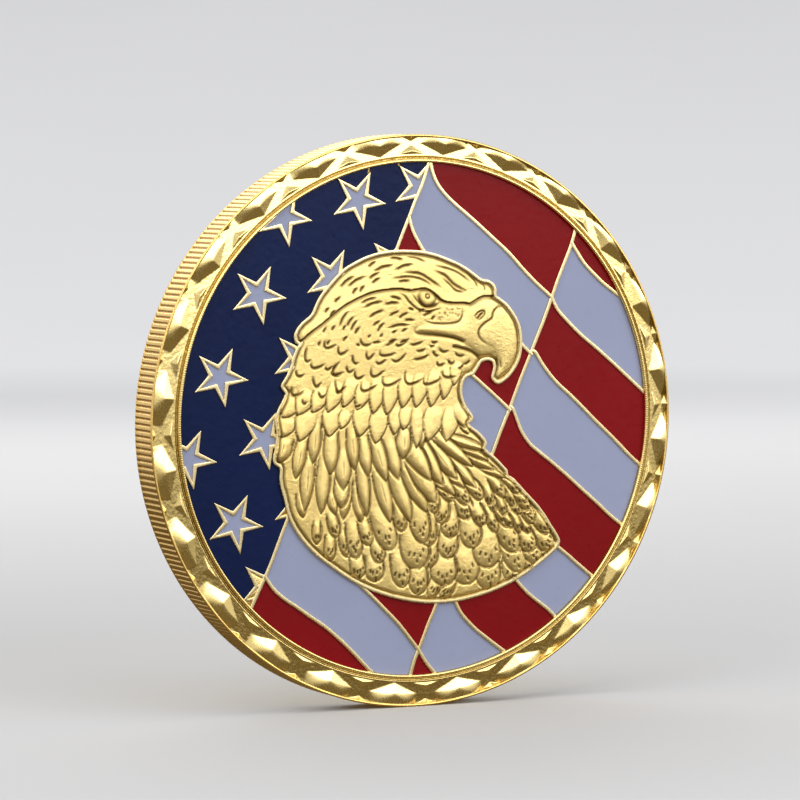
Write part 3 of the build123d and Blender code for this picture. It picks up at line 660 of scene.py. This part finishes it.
def build_star_pads():
    """The star tips that hold bare gold, not enamel."""
    cos, tris, base = [], [], 0
    for k in ("S11", "S12", "S13"):
        q = canton_clip(star_outline(STARS[k], 0.2))
        c = np.array(STARS[k])[None, :]
        c = canton_clip(c)
        m = len(q)
        rings = []
        for f, h in ((1.0, 1.10), (0.86, 1.135), (0.5, 1.15), (0.2, 1.155)):
            qq = c + (q - c) * f
            rings.append(obverse(qq[:, 0], qq[:, 1], h))
        rings.append(obverse(c[:, 0], c[:, 1], 1.155))
        cos.append(np.concatenate(rings))
        quad = grid_quads(4, m, wrap=True, flip=False) + base
        tris.append(quad[:, [0, 1, 2]])
        tris.append(quad[:, [0, 2, 3]])
        last = base + 3 * m
        i = np.arange(m)
        tris.append(np.stack([last + i, last + (i + 1) % m, np.full(m, base + 4 * m)], -1))
        base += 4 * m + 1
    ob = make_mesh("bare_star_tips", np.concatenate(cos), tris=np.concatenate(tris))
    # Painted shade: the bare tips, low between the lines, are darkened a little all over.
    set_attr(ob, np.full(len(ob.data.vertices), 0.15))
    return finish_piece(ob, M_EAGLE)


def build_floor():
    """Struck ground under the enamel and between the lines, with a fine matte grain."""
    n = 240
    r = np.concatenate([[0.02], np.linspace(0.5, 17.95, 60)])
    th = np.arange(n) * 2 * np.pi / n
    T, RR = np.meshgrid(th, r)
    X, Y = RR * np.cos(T), RR * np.sin(T)
    H = 1.0 + value_noise(X, Y, 0.4, 9) * 0.004
    ob = make_mesh("pocket_ground", obverse(X, Y, H).reshape(-1, 3), grid_quads(len(r), n, True))
    # Painted shade: the ground deep in the pockets between the lines is darkened strongly.
    set_attr(ob, np.full(len(ob.data.vertices), 0.6))
    return finish_piece(ob, M_EAGLE)


# ------------------------------------------------------------------ eagle
def dist_poly(X, Y, pts, closed=False):
    """Distance to a polyline, and the share of its length at the nearest point."""
    pts = np.asarray(pts, float)
    if closed:
        pts = np.vstack([pts, pts[:1]])
    seg = np.hypot(*(pts[1:] - pts[:-1]).T)
    cum = np.concatenate([[0], np.cumsum(seg)])
    best = np.full(X.shape, 1e9)
    where = np.zeros(X.shape)
    for i in range(len(pts) - 1):
        ax, ay = pts[i]
        bx, by = pts[i + 1]
        dx, dy = bx - ax, by - ay
        L2 = dx * dx + dy * dy
        if L2 < 1e-12:
            continue
        t = np.clip(((X - ax) * dx + (Y - ay) * dy) / L2, 0, 1)
        d = np.hypot(X - ax - t * dx, Y - ay - t * dy)
        m = d < best
        best = np.where(m, d, best)
        where = np.where(m, (cum[i] + t * seg[i]) / cum[-1], where)
    return best, where


def inside_poly(X, Y, pts):
    pts = np.asarray(pts, float)
    c = np.zeros(X.shape, bool)
    n = len(pts)
    for i in range(n):
        ax, ay = pts[i - 1]
        bx, by = pts[i]
        if ay == by:
            continue
        hit = ((ay > Y) != (by > Y)) & (X < (bx - ax) * (Y - ay) / (by - ay) + ax)
        c ^= hit
    return c


class Field:
    """A height field on a regular grid, in design millimetres."""

    def __init__(self, x0, x1, y0, y1, step):
        self.x = np.arange(x0, x1 + step / 2, step)
        self.y = np.arange(y0, y1 + step / 2, step)
        self.step = step
        self.X, self.Y = np.meshgrid(self.x, self.y)
        self.H = np.zeros_like(self.X)
        # C is painted shade, with some toning, in grooves and hollows, from 0 to 1.
        self.C = np.zeros_like(self.X)

    def window(self, pts, pad):
        pts = np.asarray(pts, float)
        x0, y0 = pts.min(0) - pad
        x1, y1 = pts.max(0) + pad
        i0, i1 = np.searchsorted(self.x, [x0, x1])
        j0, j1 = np.searchsorted(self.y, [y0, y1])
        return slice(max(j0, 0), j1 + 1), slice(max(i0, 0), i1 + 1)

    def groove(self, pts, width, depth, taper=True, dark=0.8):
        pad = width * 2.5
        w = self.window(pts, pad)
        d, t = dist_poly(self.X[w], self.Y[w], pts)
        a = np.exp(-(d / (width * 0.5)) ** 2)
        c = np.exp(-(d / (width * 0.66)) ** 2)
        if taper:
            k = np.clip(4.5 * t * (1 - t) + 0.25, 0, 1)
            a, c = a * k, c * k
        self.H[w] -= depth * a
        # The groove is darkened too: painted shade, with some toning.
        self.C[w] = np.maximum(self.C[w], dark * c)

    def feather(self, bx, by, tx, ty, hw, base, rise, crown, point=1.6, quill=False, edge=0.045, blunt=False, fall=0.2):
        """One overlapping feather: it covers what lies under its outline."""
        L = math.hypot(tx - bx, ty - by)
        ux, uy = (tx - bx) / L, (ty - by) / L
        w = self.window([(bx - hw, by - hw), (bx + hw, by + hw), (tx - hw, ty - hw), (tx + hw, ty + hw)], 0.25)
        X, Y = self.X[w] - bx, self.Y[w] - by
        s = (X * ux + Y * uy) / L
        t = (-X * uy + Y * ux) / hw
        half = np.where(s < 0.45, 0.86 + 0.14 * np.sin(np.clip(s / 0.45, 0, 1) * np.pi / 2),
                        np.clip(1 - np.clip((s - 0.45) / 0.55, 0, 1) ** point, 0, 1) ** 0.75)
        if blunt:
            k = np.clip((s - 0.52) / 0.48, 0, 1)
            half = np.where(s < 0.52, half, np.sqrt(np.clip(1 - k ** 2.3, 0, 1)))
        q = np.abs(t) / np.maximum(half, 1e-3)
        body = (s > 0) & (s <= 1) & (q < 1)
        prof = np.clip(1 - q ** 1.9, 0, 1) ** 0.75
        endfall = np.sin(np.clip((1 - s) / fall, 0, 1) * np.pi / 2) ** 0.8
        hgt = base + rise * np.clip(s, 0, 1) + crown * prof * (0.22 + 0.78 * endfall)
        start = smoothstep(0.0, 0.30, s)
        old = self.H[w]
        new = old * (1 - start) + hgt * start
        self.H[w] = np.where(body, new, old)
        # painted shade in a dark line just outside the feather's edge, where the feather stands over what lies beneath
        out = (s > 0.15) & (s < 1.10) & (q >= 1)
        halfw = np.maximum(half, 0.02) * hw
        dist = np.abs(t) * hw - halfw
        dist = np.where(s > 1, np.hypot(dist, (s - 1) * L), dist)
        ring = np.exp(-(dist / edge) ** 2) * out * smoothstep(0.15, 0.5, s)
        self.H[w] -= 0.075 * ring
        self.C[w] = np.where(body, self.C[w] * (1 - start), np.maximum(self.C[w], 1.0 * ring))
        # painted shade along the inside of the feather's edge
        inner = body * np.exp(-((1 - q) * half * hw / (edge * 1.6)) ** 2) * smoothstep(0.2, 0.6, s)
        self.C[w] = np.maximum(self.C[w], 0.34 * inner)
        # the quill groove is darkened with painted shade
        if quill:
            a = np.exp(-((t * hw) / 0.035) ** 2) * smoothstep(0.3, 0.4, s) * smoothstep(0.75, 0.6, s)
            a = a * body
            self.H[w] -= 0.03 * a
            self.C[w] = np.maximum(self.C[w], 0.8 * a)

    def dashes(self, bx, by, tx, ty, hw, seed):
        """The short chased strokes on a scale feather."""
        rng = np.random.default_rng(seed)
        L = math.hypot(tx - bx, ty - by)
        ux, uy = (tx - bx) / L, (ty - by) / L
        if hw < 0.36:
            spots = [(-0.25, 0.66), (0.25, 0.70)]
        elif hw < 0.55:
            spots = [(-0.42, 0.60), (0.0, 0.70), (0.42, 0.60)]
        else:
            spots = [(-0.50, 0.56), (-0.18, 0.66), (0.20, 0.66), (0.52, 0.56), (-0.02, 0.82)]
        for t, s_ in spots:
            t = t + rng.uniform(-0.07, 0.07)
            s_ = s_ + rng.uniform(-0.04, 0.04)
            l = rng.uniform(0.14, 0.26)
            px, py = bx + ux * L * s_ - uy * hw * t, by + uy * L * s_ + ux * hw * t
            a = math.atan2(uy, ux) + t * 0.5 + rng.uniform(-0.25, 0.25)
            # each stroke is cut and darkened with painted shade
            self.groove([(px, py), (px + l * math.cos(a), py + l * math.sin(a))], 0.10, 0.07, taper=False, dark=1.0)


def build_eagle():
    step = 0.062
    F = Field(-11.3, 11.3, -13.2, 12.0, step)
    X, Y = F.X, F.Y
    outline = np.array(EAGLE)
    d, _ = dist_poly(X, Y, outline, closed=True)
    ins = inside_poly(X, Y, outline)
    sd = np.where(ins, d, -d)
    # big forms
    F.H = 1.26 + 0.075 * (1 - np.exp(-np.clip(sd - 0.2, 0, 9) / 0.7))
    head = np.exp(-(((X + 1.2) / 5.5) ** 2 + ((Y - 6.6) / 3.4) ** 2))
    F.H += 0.025 * head
    # scale feathers of the lower body, small ones near the wing's edge
    for i, (bx, by, tx, ty, hw) in enumerate(SCALES):
        b, t = P(bx, by), P(tx, ty)
        F.feather(*b, *t, hw / 40.0, 1.12, 0.10, 0.255, blunt=True, edge=0.055, fall=0.55)
        F.dashes(*b, *t, hw / 40.0, 100 + i)
    # long feathers of the breast
    for i, (bx, by, tx, ty, hw) in enumerate(LONG):
        b, t = P(bx, by), P(tx, ty)
        F.feather(*b, *t, hw / 40.0, 1.12, 0.14, 0.235, point=1.9, quill=i % 2 == 0, edge=0.06, fall=0.38)
    for bx, by, tx, ty, hw in Z2:
        F.feather(*P(bx, by), *P(tx, ty), hw / 40.0, 1.28, 0.12, 0.085, point=1.5, edge=0.06, fall=0.35)
    for bx, by, tx, ty, hw in Z1:
        F.feather(*P(bx, by), *P(tx, ty), hw / 40.0, 1.32, 0.10, 0.07, point=1.5, edge=0.06, fall=0.35)
    # neck scallops and head strokes, cut and darkened with painted shade
    for x0, y0, x1, y1, x2, y2 in SCALLOP:
        a, m, b = (np.array(P(*q)) for q in ((x0, y0), (x1, y1), (x2, y2)))
        c = 2 * m - (a + b) / 2
        tt = np.linspace(0, 1, 9)[:, None]
        pts = (1 - tt) ** 2 * a + 2 * tt * (1 - tt) * c + tt * tt * b
        F.groove(pts, 0.135, 0.085, dark=1.0)
    for x0, y0, x1, y1 in STROKE:
        a, b = np.array(P(x0, y0)), np.array(P(x1, y1))
        m = (a + b) / 2 + np.array([-(b - a)[1], (b - a)[0]]) * 0.08
        F.groove(smooth_line([a, m, b], 0.12), 0.135, 0.085, dark=1.0)
    for w, dp, pts in CURVE:
        F.groove(smooth_line([P(*p) for p in pts], 0.12), w / 40.0, 0.06 * dp, dark=1.0)
    # brow: the crown overhangs the face along one long line
    brow = smooth_line([P(*p) for p in BROW], 0.10)
    db, tb = dist_poly(X, Y, brow)
    crown_poly = np.vstack([brow, [P(1080, 440), P(1000, 330), P(700, 300), P(440, 520)]])
    crown = inside_poly(X, Y, crown_poly) & ins
    F.H += np.where(crown, 0.075 * np.exp(-db / 0.85), 0.0) * smoothstep(0, 0.12, tb)
    F.H -= np.where(~crown, 0.095 * np.exp(-(db / 0.22) ** 2), 0.0)
    # painted shade under the brow line, and a thin dark line along the crown's edge
    F.C = np.maximum(F.C, np.where(~crown, 1.0 * np.exp(-(db / 0.23) ** 2), 0.8 * np.exp(-(db / 0.08) ** 2)))
    # eye
    ex, ey = P(858, 472)
    rr = np.hypot(X - ex, Y - ey)
    under = ~crown
    F.H += np.where(under & (rr < 0.75), 0.085 * np.sqrt(np.clip(1 - (rr / 0.75) ** 2, 0, 1)), 0)
    ring = np.exp(-((rr - 0.66) / 0.11) ** 2) * under
    ang = np.arctan2(Y - ey, X - ex)
    # painted shade: the ring round the eye is cut deeper and darker on its lower side
    lower = 0.40 + 0.60 * np.clip(-np.sin(ang + 0.5), 0, 1)
    F.H -= 0.08 * ring * lower
    F.C = np.maximum(F.C, 1.0 * ring * lower)
    px, py = P(857, 469)
    pr = np.hypot(X - px, Y - py)
    # painted shade in the ring round the pupil
    F.H -= 0.05 * np.exp(-((pr - 0.15) / 0.07) ** 2)
    F.C = np.maximum(F.C, 1.0 * np.exp(-((pr - 0.15) / 0.07) ** 2))
    for pts in ([P(832, 452), P(828, 468), P(834, 484), P(850, 496), P(872, 498), P(890, 490), P(903, 482)],):
        F.groove(smooth_line(pts, 0.1), 0.10, 0.03)
    F.groove([P(1013, 533), P(1019, 525), P(1027, 519)], 0.17, 0.07, taper=False, dark=1.0)      # nostril
    # dots between the eye and the bill
    rng = np.random.default_rng(11)
    for _ in range(26):
        qx, qy = rng.uniform(885, 958), rng.uniform(498, 537)
        if qy < 500 + (qx < 900) * 10:
            continue
        q = P(qx, qy)
        F.groove([q, (q[0] + 0.05, q[1] - 0.02)], 0.075, 0.03, taper=False, dark=0.7)
    # bill: a smooth swelling past the cere, and the gape with its fleshy lip
    bill = [P(*p) for p in ((985, 500), (1012, 482), (1064, 478), (1090, 492), (1118, 520), (1135, 550), (1145, 600),
                            (1140, 640), (1118, 682), (1080, 708), (1068, 690), (1072, 660), (1058, 640), (1026, 640),
                            (990, 612), (940, 590), (880, 574), (826, 566), (830, 552), (900, 548), (950, 545), (968, 530))]
    bi = inside_poly(X, Y, bill) & ins
    bd, _ = dist_poly(X, Y, bill, closed=True)
    F.H += np.where(bi, 0.085 * (1 - np.exp(-bd / 0.35)), 0)
    hook = [P(*p) for p in ((1100, 500), (1076, 506), (1062, 520), (1056, 537), (1036, 551), (1020, 567), (1018, 585),
                            (1030, 600), (1060, 615), (1085, 660), (1078, 706), (1118, 690), (1146, 640), (1148, 590),
                            (1135, 540))]
    hi_ = inside_poly(X, Y, hook) & ins
    hd, _ = dist_poly(X, Y, hook, closed=True)
    F.H += np.where(hi_, 0.03 * (1 - np.exp(-hd / 0.2)), 0)
    gape = smooth_line([P(*p) for p in GAPE], 0.1)
    dg, tg = dist_poly(X, Y, gape)
    below = Y < np.interp(X, gape[2:, 0], gape[2:, 1])
    F.H -= 0.07 * np.exp(-(dg / 0.13) ** 2) * smoothstep(0.05, 0.3, tg)
    # painted shade along the gape
    F.C = np.maximum(F.C, 0.95 * np.exp(-(dg / 0.12) ** 2) * (0.25 + 0.75 * smoothstep(0.15, 0.45, tg)))
    jaw = smooth_line([P(*p) for p in JAW], 0.1)
    F.groove(jaw, 0.22, 0.07, taper=False, dark=0.95)
    # groove inside the raised outline, darkened with painted shade
    g = np.exp(-((sd - 0.20) / 0.085) ** 2)
    F.H -= 0.08 * g
    F.C = np.maximum(F.C, 0.92 * g)
    # painted shade in the hollows between the feathers: where the height lies below its blurred surroundings, the
    # colour darkens
    k = np.exp(-(np.arange(-9, 10) / 4.0) ** 2)
    k /= k.sum()
    B = F.H
    for axis in (0, 1):
        B = sum(w_ * np.roll(B, o, axis) for w_, o in zip(k, range(-9, 10)))
    hollow = np.clip((B - F.H - 0.004) / 0.040, 0, 1) * 0.70
    F.C = np.maximum(F.C, np.where(sd > 0.45, hollow, 0))
    # matte struck grain
    F.H += 0.0055 * value_noise(X, Y, 0.085, 21) + 0.004 * value_noise(X, Y, 0.16, 22)
    F.H = np.clip(F.H, 1.10, 1.492)
    keep = sd > -0.12
    F.H = np.where(sd < 0.02, np.minimum(F.H, 1.22), F.H)
    idx = -np.ones(X.shape, int)
    a = keep[:-1, :-1] & keep[1:, :-1] & keep[:-1, 1:] & keep[1:, 1:]
    used = np.zeros(X.shape, bool)
    used[:-1, :-1] |= a; used[1:, :-1] |= a; used[:-1, 1:] |= a; used[1:, 1:] |= a
    idx[used] = np.arange(used.sum())
    j, i = np.nonzero(a)
    q = np.stack([idx[j, i], idx[j, i + 1], idx[j + 1, i + 1], idx[j + 1, i]], -1)
    co = obverse(X[used], Y[used], F.H[used])
    ob = make_mesh("eagle_relief", co, q)
    set_attr(ob, np.clip(F.C[used], 0, 1))
    print("eagle", len(co), "vertices", len(q) * 2, "triangles")
    return finish_piece(ob, M_EAGLE)


# ---------------------------------------------------------------- reverse
def build_reverse():
    step = 0.115
    F = Field(-18.0, 18.0, -18.0, 18.0, step)
    X, Y = F.X, F.Y
    r = np.hypot(X, Y)
    F.H = np.full(X.shape, 1.12)
    # faceted star in the middle
    pts = []
    for i in range(10):
        rad = 6.6 if i % 2 == 0 else 2.75
        a = math.radians(90 + 36 * i)
        pts.append((rad * math.cos(a), 0.6 + rad * math.sin(a)))
    pts = np.array(pts)
    ins = inside_poly(X, Y, pts)
    best = np.full(X.shape, 1e9)
    for i in range(10):
        a, b = pts[i - 1], pts[i]
        d = b - a
        n = np.array([-d[1], d[0]]) / np.hypot(*d)
        c = (X - a[0]) * n[0] + (Y - a[1]) * n[1]
        tri = np.stack([a, b, [0, 0.6]])
        m = inside_poly(X, Y, tri)
        dc = abs((0 - a[0]) * n[0] + (0.6 - a[1]) * n[1])
        best = np.where(m, np.abs(c) / dc, best)
    F.H = np.where(ins, 1.14 + 0.30 * np.clip(best, 0, 1), F.H)
    de, _ = dist_poly(X, Y, pts, closed=True)
    # painted shade in a dark line round the foot of the star
    F.C = np.maximum(F.C, np.where(ins, 0, 0.7 * np.exp(-(de / 0.14) ** 2)))
    # fine rays round the star
    ang = np.degrees(np.arctan2(Y - 0.6, X))
    ray = 0.5 + 0.5 * np.cos(np.radians(ang * 60))
    band = smoothstep(3.2, 4.2, np.hypot(X, Y - 0.6)) * smoothstep(10.4, 9.6, np.hypot(X, Y - 0.6))
    F.H += np.where(ins, 0, 0.035 * ray * band)
    # laurel sprays
    for side in (1, -1):
        stem = [(side * 12.6 * math.cos(math.radians(t)), 12.6 * math.sin(math.radians(t)))
                for t in np.linspace(-82, 66, 30)]
        w = F.window(stem, 0.5)
        d, _ = dist_poly(X[w], Y[w], stem)
        F.H[w] = np.maximum(F.H[w], 1.12 + 0.11 * np.sqrt(np.clip(1 - (d / 0.17) ** 2, 0, 1)))
        for i in range(15):
            t = -74 + i * 9.6
            for dr, lean in ((1.15, 32), (-1.15, -32)):
                rr = 12.6 + dr
                cx, cy = side * rr * math.cos(math.radians(t)), rr * math.sin(math.radians(t))
                a = math.radians(t + 90 - lean)
                ux, uy = math.cos(a) * side, math.sin(a)
                w = F.window([(cx - 1.5, cy - 1.5), (cx + 1.5, cy + 1.5)], 0.1)
                s = ((X[w] - cx) * ux + (Y[w] - cy) * uy) / 1.35
                v = (-(X[w] - cx) * uy + (Y[w] - cy) * ux) / 0.52
                q = np.abs(v) / np.maximum(np.clip(1 - np.abs(s) ** 2.2, 0, 1) ** 0.8, 1e-3)
                m = (np.abs(s) < 1) & (q < 1)
                hh = 1.13 + 0.15 * np.sqrt(np.clip(1 - q ** 2, 0, 1)) - 0.04 * np.exp(-(v / 0.10) ** 2)
                F.H[w] = np.where(m, np.maximum(hh, F.H[w] * 0), F.H[w])
                # painted shade at the leaves' edges, along their midribs and on the ground just outside them
                F.C[w] = np.where(m, 0.35 * np.exp(-((1 - q) / 0.16) ** 2) + 0.45 * np.exp(-(v / 0.09) ** 2),
                                  np.maximum(F.C[w], 0.5 * np.exp(-((q - 1) / 0.25) ** 2) * (np.abs(s) < 1)))
    F.H += 0.004 * value_noise(X, Y, 0.15, 31)
    keep = r < 17.99
    a = keep[:-1, :-1] & keep[1:, :-1] & keep[:-1, 1:] & keep[1:, 1:]
    used = np.zeros(X.shape, bool)
    used[:-1, :-1] |= a; used[1:, :-1] |= a; used[:-1, 1:] |= a; used[1:, 1:] |= a
    idx = -np.ones(X.shape, int)
    idx[used] = np.arange(used.sum())
    j, i = np.nonzero(a)
    q = np.stack([idx[j, i], idx[j + 1, i], idx[j + 1, i + 1], idx[j, i + 1]], -1)
    # a close-fitting ring fills the stair-stepped border under the inner ring
    co = world(X[used], Y[used], -F.H[used])
    ob = make_mesh("reverse_relief", co, q)
    set_attr(ob, np.clip(F.C[used], 0, 1))
    n = 360
    th = np.arange(n) * 2 * np.pi / n
    ring = np.concatenate([world(rr * np.cos(th), rr * np.sin(th), -h) for rr, h in ((17.6, 1.116), (17.80, 1.117), (17.96, 1.10))])
    ob2 = make_mesh("reverse_border", ring, grid_quads(3, n, True, flip=True))
    # painted shade: the border ring is darkened a little
    set_attr(ob2, np.full(len(ob2.data.vertices), 0.25))
    finish_piece(ob2, M_BACK)
    return finish_piece(ob, M_BACK)


# ------------------------------------------------------------------ build
build_edge()
build_rim("rim_obverse", 1, 72, 46, OX, OY)
build_rim("rim_reverse", -1, 48, 32, 0.0, 0.0)
build_ring("inner_ring_obverse", 1)
build_ring("inner_ring_reverse", -1)
build_floor()
join_ribbons("flag_lines", [ribbon(p, 0.215, LINE_H + 0.0025 * i, clip=lambda q: q * np.minimum(1, 18.03 / np.maximum(
    np.hypot(q[:, 0], q[:, 1]), 1e-6))[:, None]) for i, p in enumerate(LINES.values())], M_LINE)
build_stars()
build_star_pads()
join_ribbons("eagle_outline", [ribbon(smooth_line(EAGLE, 0.16, closed=True), 0.195, 1.318, closed=True, smooth=False)], M_LINE)
build_eagle()
build_reverse()

for name, ob in NODES.items():
    mat = None
    if name.startswith("red"):
        mat = M_RED
    elif name.startswith("white"):
        mat = M_WHITE
    elif name.startswith("blue"):
        mat = M_BLUE
    if mat is not None:
        ob.data.materials.clear()
        ob.data.materials.append(mat)

# ------------------------------------------------------------------ stage
floor_z = cad_lo[2]


def stage_sweep():
    """One pale sweep: a round floor that curves up into a low wall, far off."""
    n = 96
    th = np.arange(n) * 2 * np.pi / n
    prof = [(0.001, 0.0), (0.05, 0.0), (0.1, 0.0), (0.2, 0.0), (0.35, 0.0), (0.45, 0.0), (0.6, 0.0), (0.9, 0.0)]
    for a in np.linspace(0, math.pi / 2, 24)[1:]:
        prof.append((0.9 + 0.5 * math.sin(a), 0.5 * (1 - math.cos(a))))
    prof.append((1.4, 1.2))
    co = []
    for r, z in prof:
        co.append(np.stack([r * np.cos(th), r * np.sin(th), np.full(n, floor_z + z)], -1))
    ob = make_mesh("studio_floor", np.concatenate(co), grid_quads(len(prof), n, True))
    m, nt, b, tc = new_mat("studio_paper")
    b.inputs["Roughness"].default_value = 0.9
    b.inputs["Specular IOR Level"].default_value = 0.1
    n_ = noise(nt, tc, 9, 3)
    c = ramp(nt, n_.outputs["Fac"], [(0.3, (0.53, 0.53, 0.54)), (0.7, (0.55, 0.55, 0.56))])
    nt.links.new(c.outputs["Color"], b.inputs["Base Color"])
    # Painted light: the floor glows through its emission, more the farther it lies from the coin and a little less up
    # the wall, so the far floor and wall read pale.
    far = np.repeat([min(max((q[0] - 0.05) / 0.40, 0), 1) * (1 - 0.24 * min(q[1] / 0.12, 1)) for q in prof], n)
    set_attr(ob, far)
    at = nt.nodes.new("ShaderNodeAttribute")
    at.attribute_name = "toning_and_painted_light"
    glow = ramp(nt, at.outputs["Fac"], [(0.0, (0.0, 0.0, 0.0)), (1.0, (0.47, 0.47, 0.48))])
    nt.links.new(glow.outputs["Color"], b.inputs["Emission Color"])
    b.inputs["Emission Strength"].default_value = 1.0
    ob.data.materials.append(m)
    ob.visible_glossy = False
    ob.visible_diffuse = False
    ob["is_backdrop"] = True


stage_sweep()


def area(name, loc, target, size, size_y, radiance, color=(1, 1, 1)):
    l = bpy.data.lights.new(name, "AREA")
    l.shape = "RECTANGLE"
    l.size = size
    l.size_y = size_y
    l.energy = radiance * math.pi * size * size_y
    l.color = color
    o = bpy.data.objects.new(name, l)
    o.location = loc
    o.rotation_euler = (Vector(target) - Vector(loc)).to_track_quat("-Z", "Y").to_euler()
    o.visible_camera = False
    bpy.context.collection.objects.link(o)
    return o


C = tuple(MID)
area("key_high", (0.085, -0.165, 0.069), (0.005, 0, 0.0), 0.26, 0.082, 3.2, (1, 0.99, 0.965))
area("key_left", (-0.20, -0.10, 0.15), (0, 0, 0.01), 0.24, 0.16, 1.9, (1, 0.985, 0.95))
area("top", (-0.02, -0.06, 0.27), (0, 0, 0.0), 0.34, 0.20, 1.5, (1, 0.99, 0.97))
area("back_soft", (0.05, 0.24, 0.16), C, 0.34, 0.20, 1.7, (1, 0.985, 0.95))

w = bpy.data.worlds.new("studio")
bpy.context.scene.world = w
w.use_nodes = True
wn = w.node_tree
bg = wn.nodes["Background"]
wtc = wn.nodes.new("ShaderNodeTexCoord")
sep = wn.nodes.new("ShaderNodeSeparateXYZ")
wn.links.new(wtc.outputs["Generated"], sep.inputs["Vector"])
mr = wn.nodes.new("ShaderNodeMapRange")
mr.inputs["From Min"].default_value = -1.0
mr.inputs["From Max"].default_value = 1.0
wn.links.new(sep.outputs["Z"], mr.inputs["Value"])
wr = wn.nodes.new("ShaderNodeValToRGB")
stops = [(0.0, (0.36, 0.30, 0.20)), (0.25, (0.28, 0.215, 0.11)), (0.36, (0.19, 0.14, 0.055)), (0.41, (0.27, 0.215, 0.12)),
         (0.45, (1.10, 1.07, 0.98)), (0.50, (1.38, 1.37, 1.31)), (0.60, (1.20, 1.20, 1.17)), (0.75, (0.80, 0.80, 0.80)),
         (1.0, (0.74, 0.76, 0.80))]
el = wr.color_ramp.elements
while len(el) < len(stops):
    el.new(0.5)
for e_, (p_, c_) in zip(el, stops):
    e_.position = p_
    e_.color = (*c_, 1)
wn.links.new(mr.outputs["Result"], wr.inputs["Fac"])
wn.links.new(wr.outputs["Color"], bg.inputs["Color"])
bg.inputs["Strength"].default_value = 0.62

# ----------------------------------------------------------------- camera
AZ, EL = math.radians(-25.17), math.radians(3.53)
DIST, F_PX = 300.0 * K, 4301.8
U0, V0 = 417.49, 421.48
v = Vector((math.sin(AZ) * math.cos(EL), -math.cos(AZ) * math.cos(EL), math.sin(EL)))
right = Vector((0, 0, 1)).cross(v).normalized()
up = v.cross(right)
front = MID + Vector((0, -HALF, 0))
loc = front + v * DIST - right * ((U0 - 400) * DIST / F_PX) + up * ((V0 - 400) * DIST / F_PX)
cam = bpy.data.cameras.new("camera")
cam.sensor_fit = "HORIZONTAL"
cam.sensor_width = 36.0
cam.lens = F_PX / 800 * 36.0
cam.clip_start = 0.01
cam.clip_end = 20
cob = bpy.data.objects.new("camera", cam)
cob.matrix_world = Matrix((
    (right.x, up.x, v.x, loc.x), (right.y, up.y, v.y, loc.y), (right.z, up.z, v.z, loc.z), (0, 0, 0, 1)))
bpy.context.collection.objects.link(cob)
bpy.context.scene.camera = cob

bpy.context.scene.view_settings.view_transform = "Standard"

bpy.context.view_layer.update()
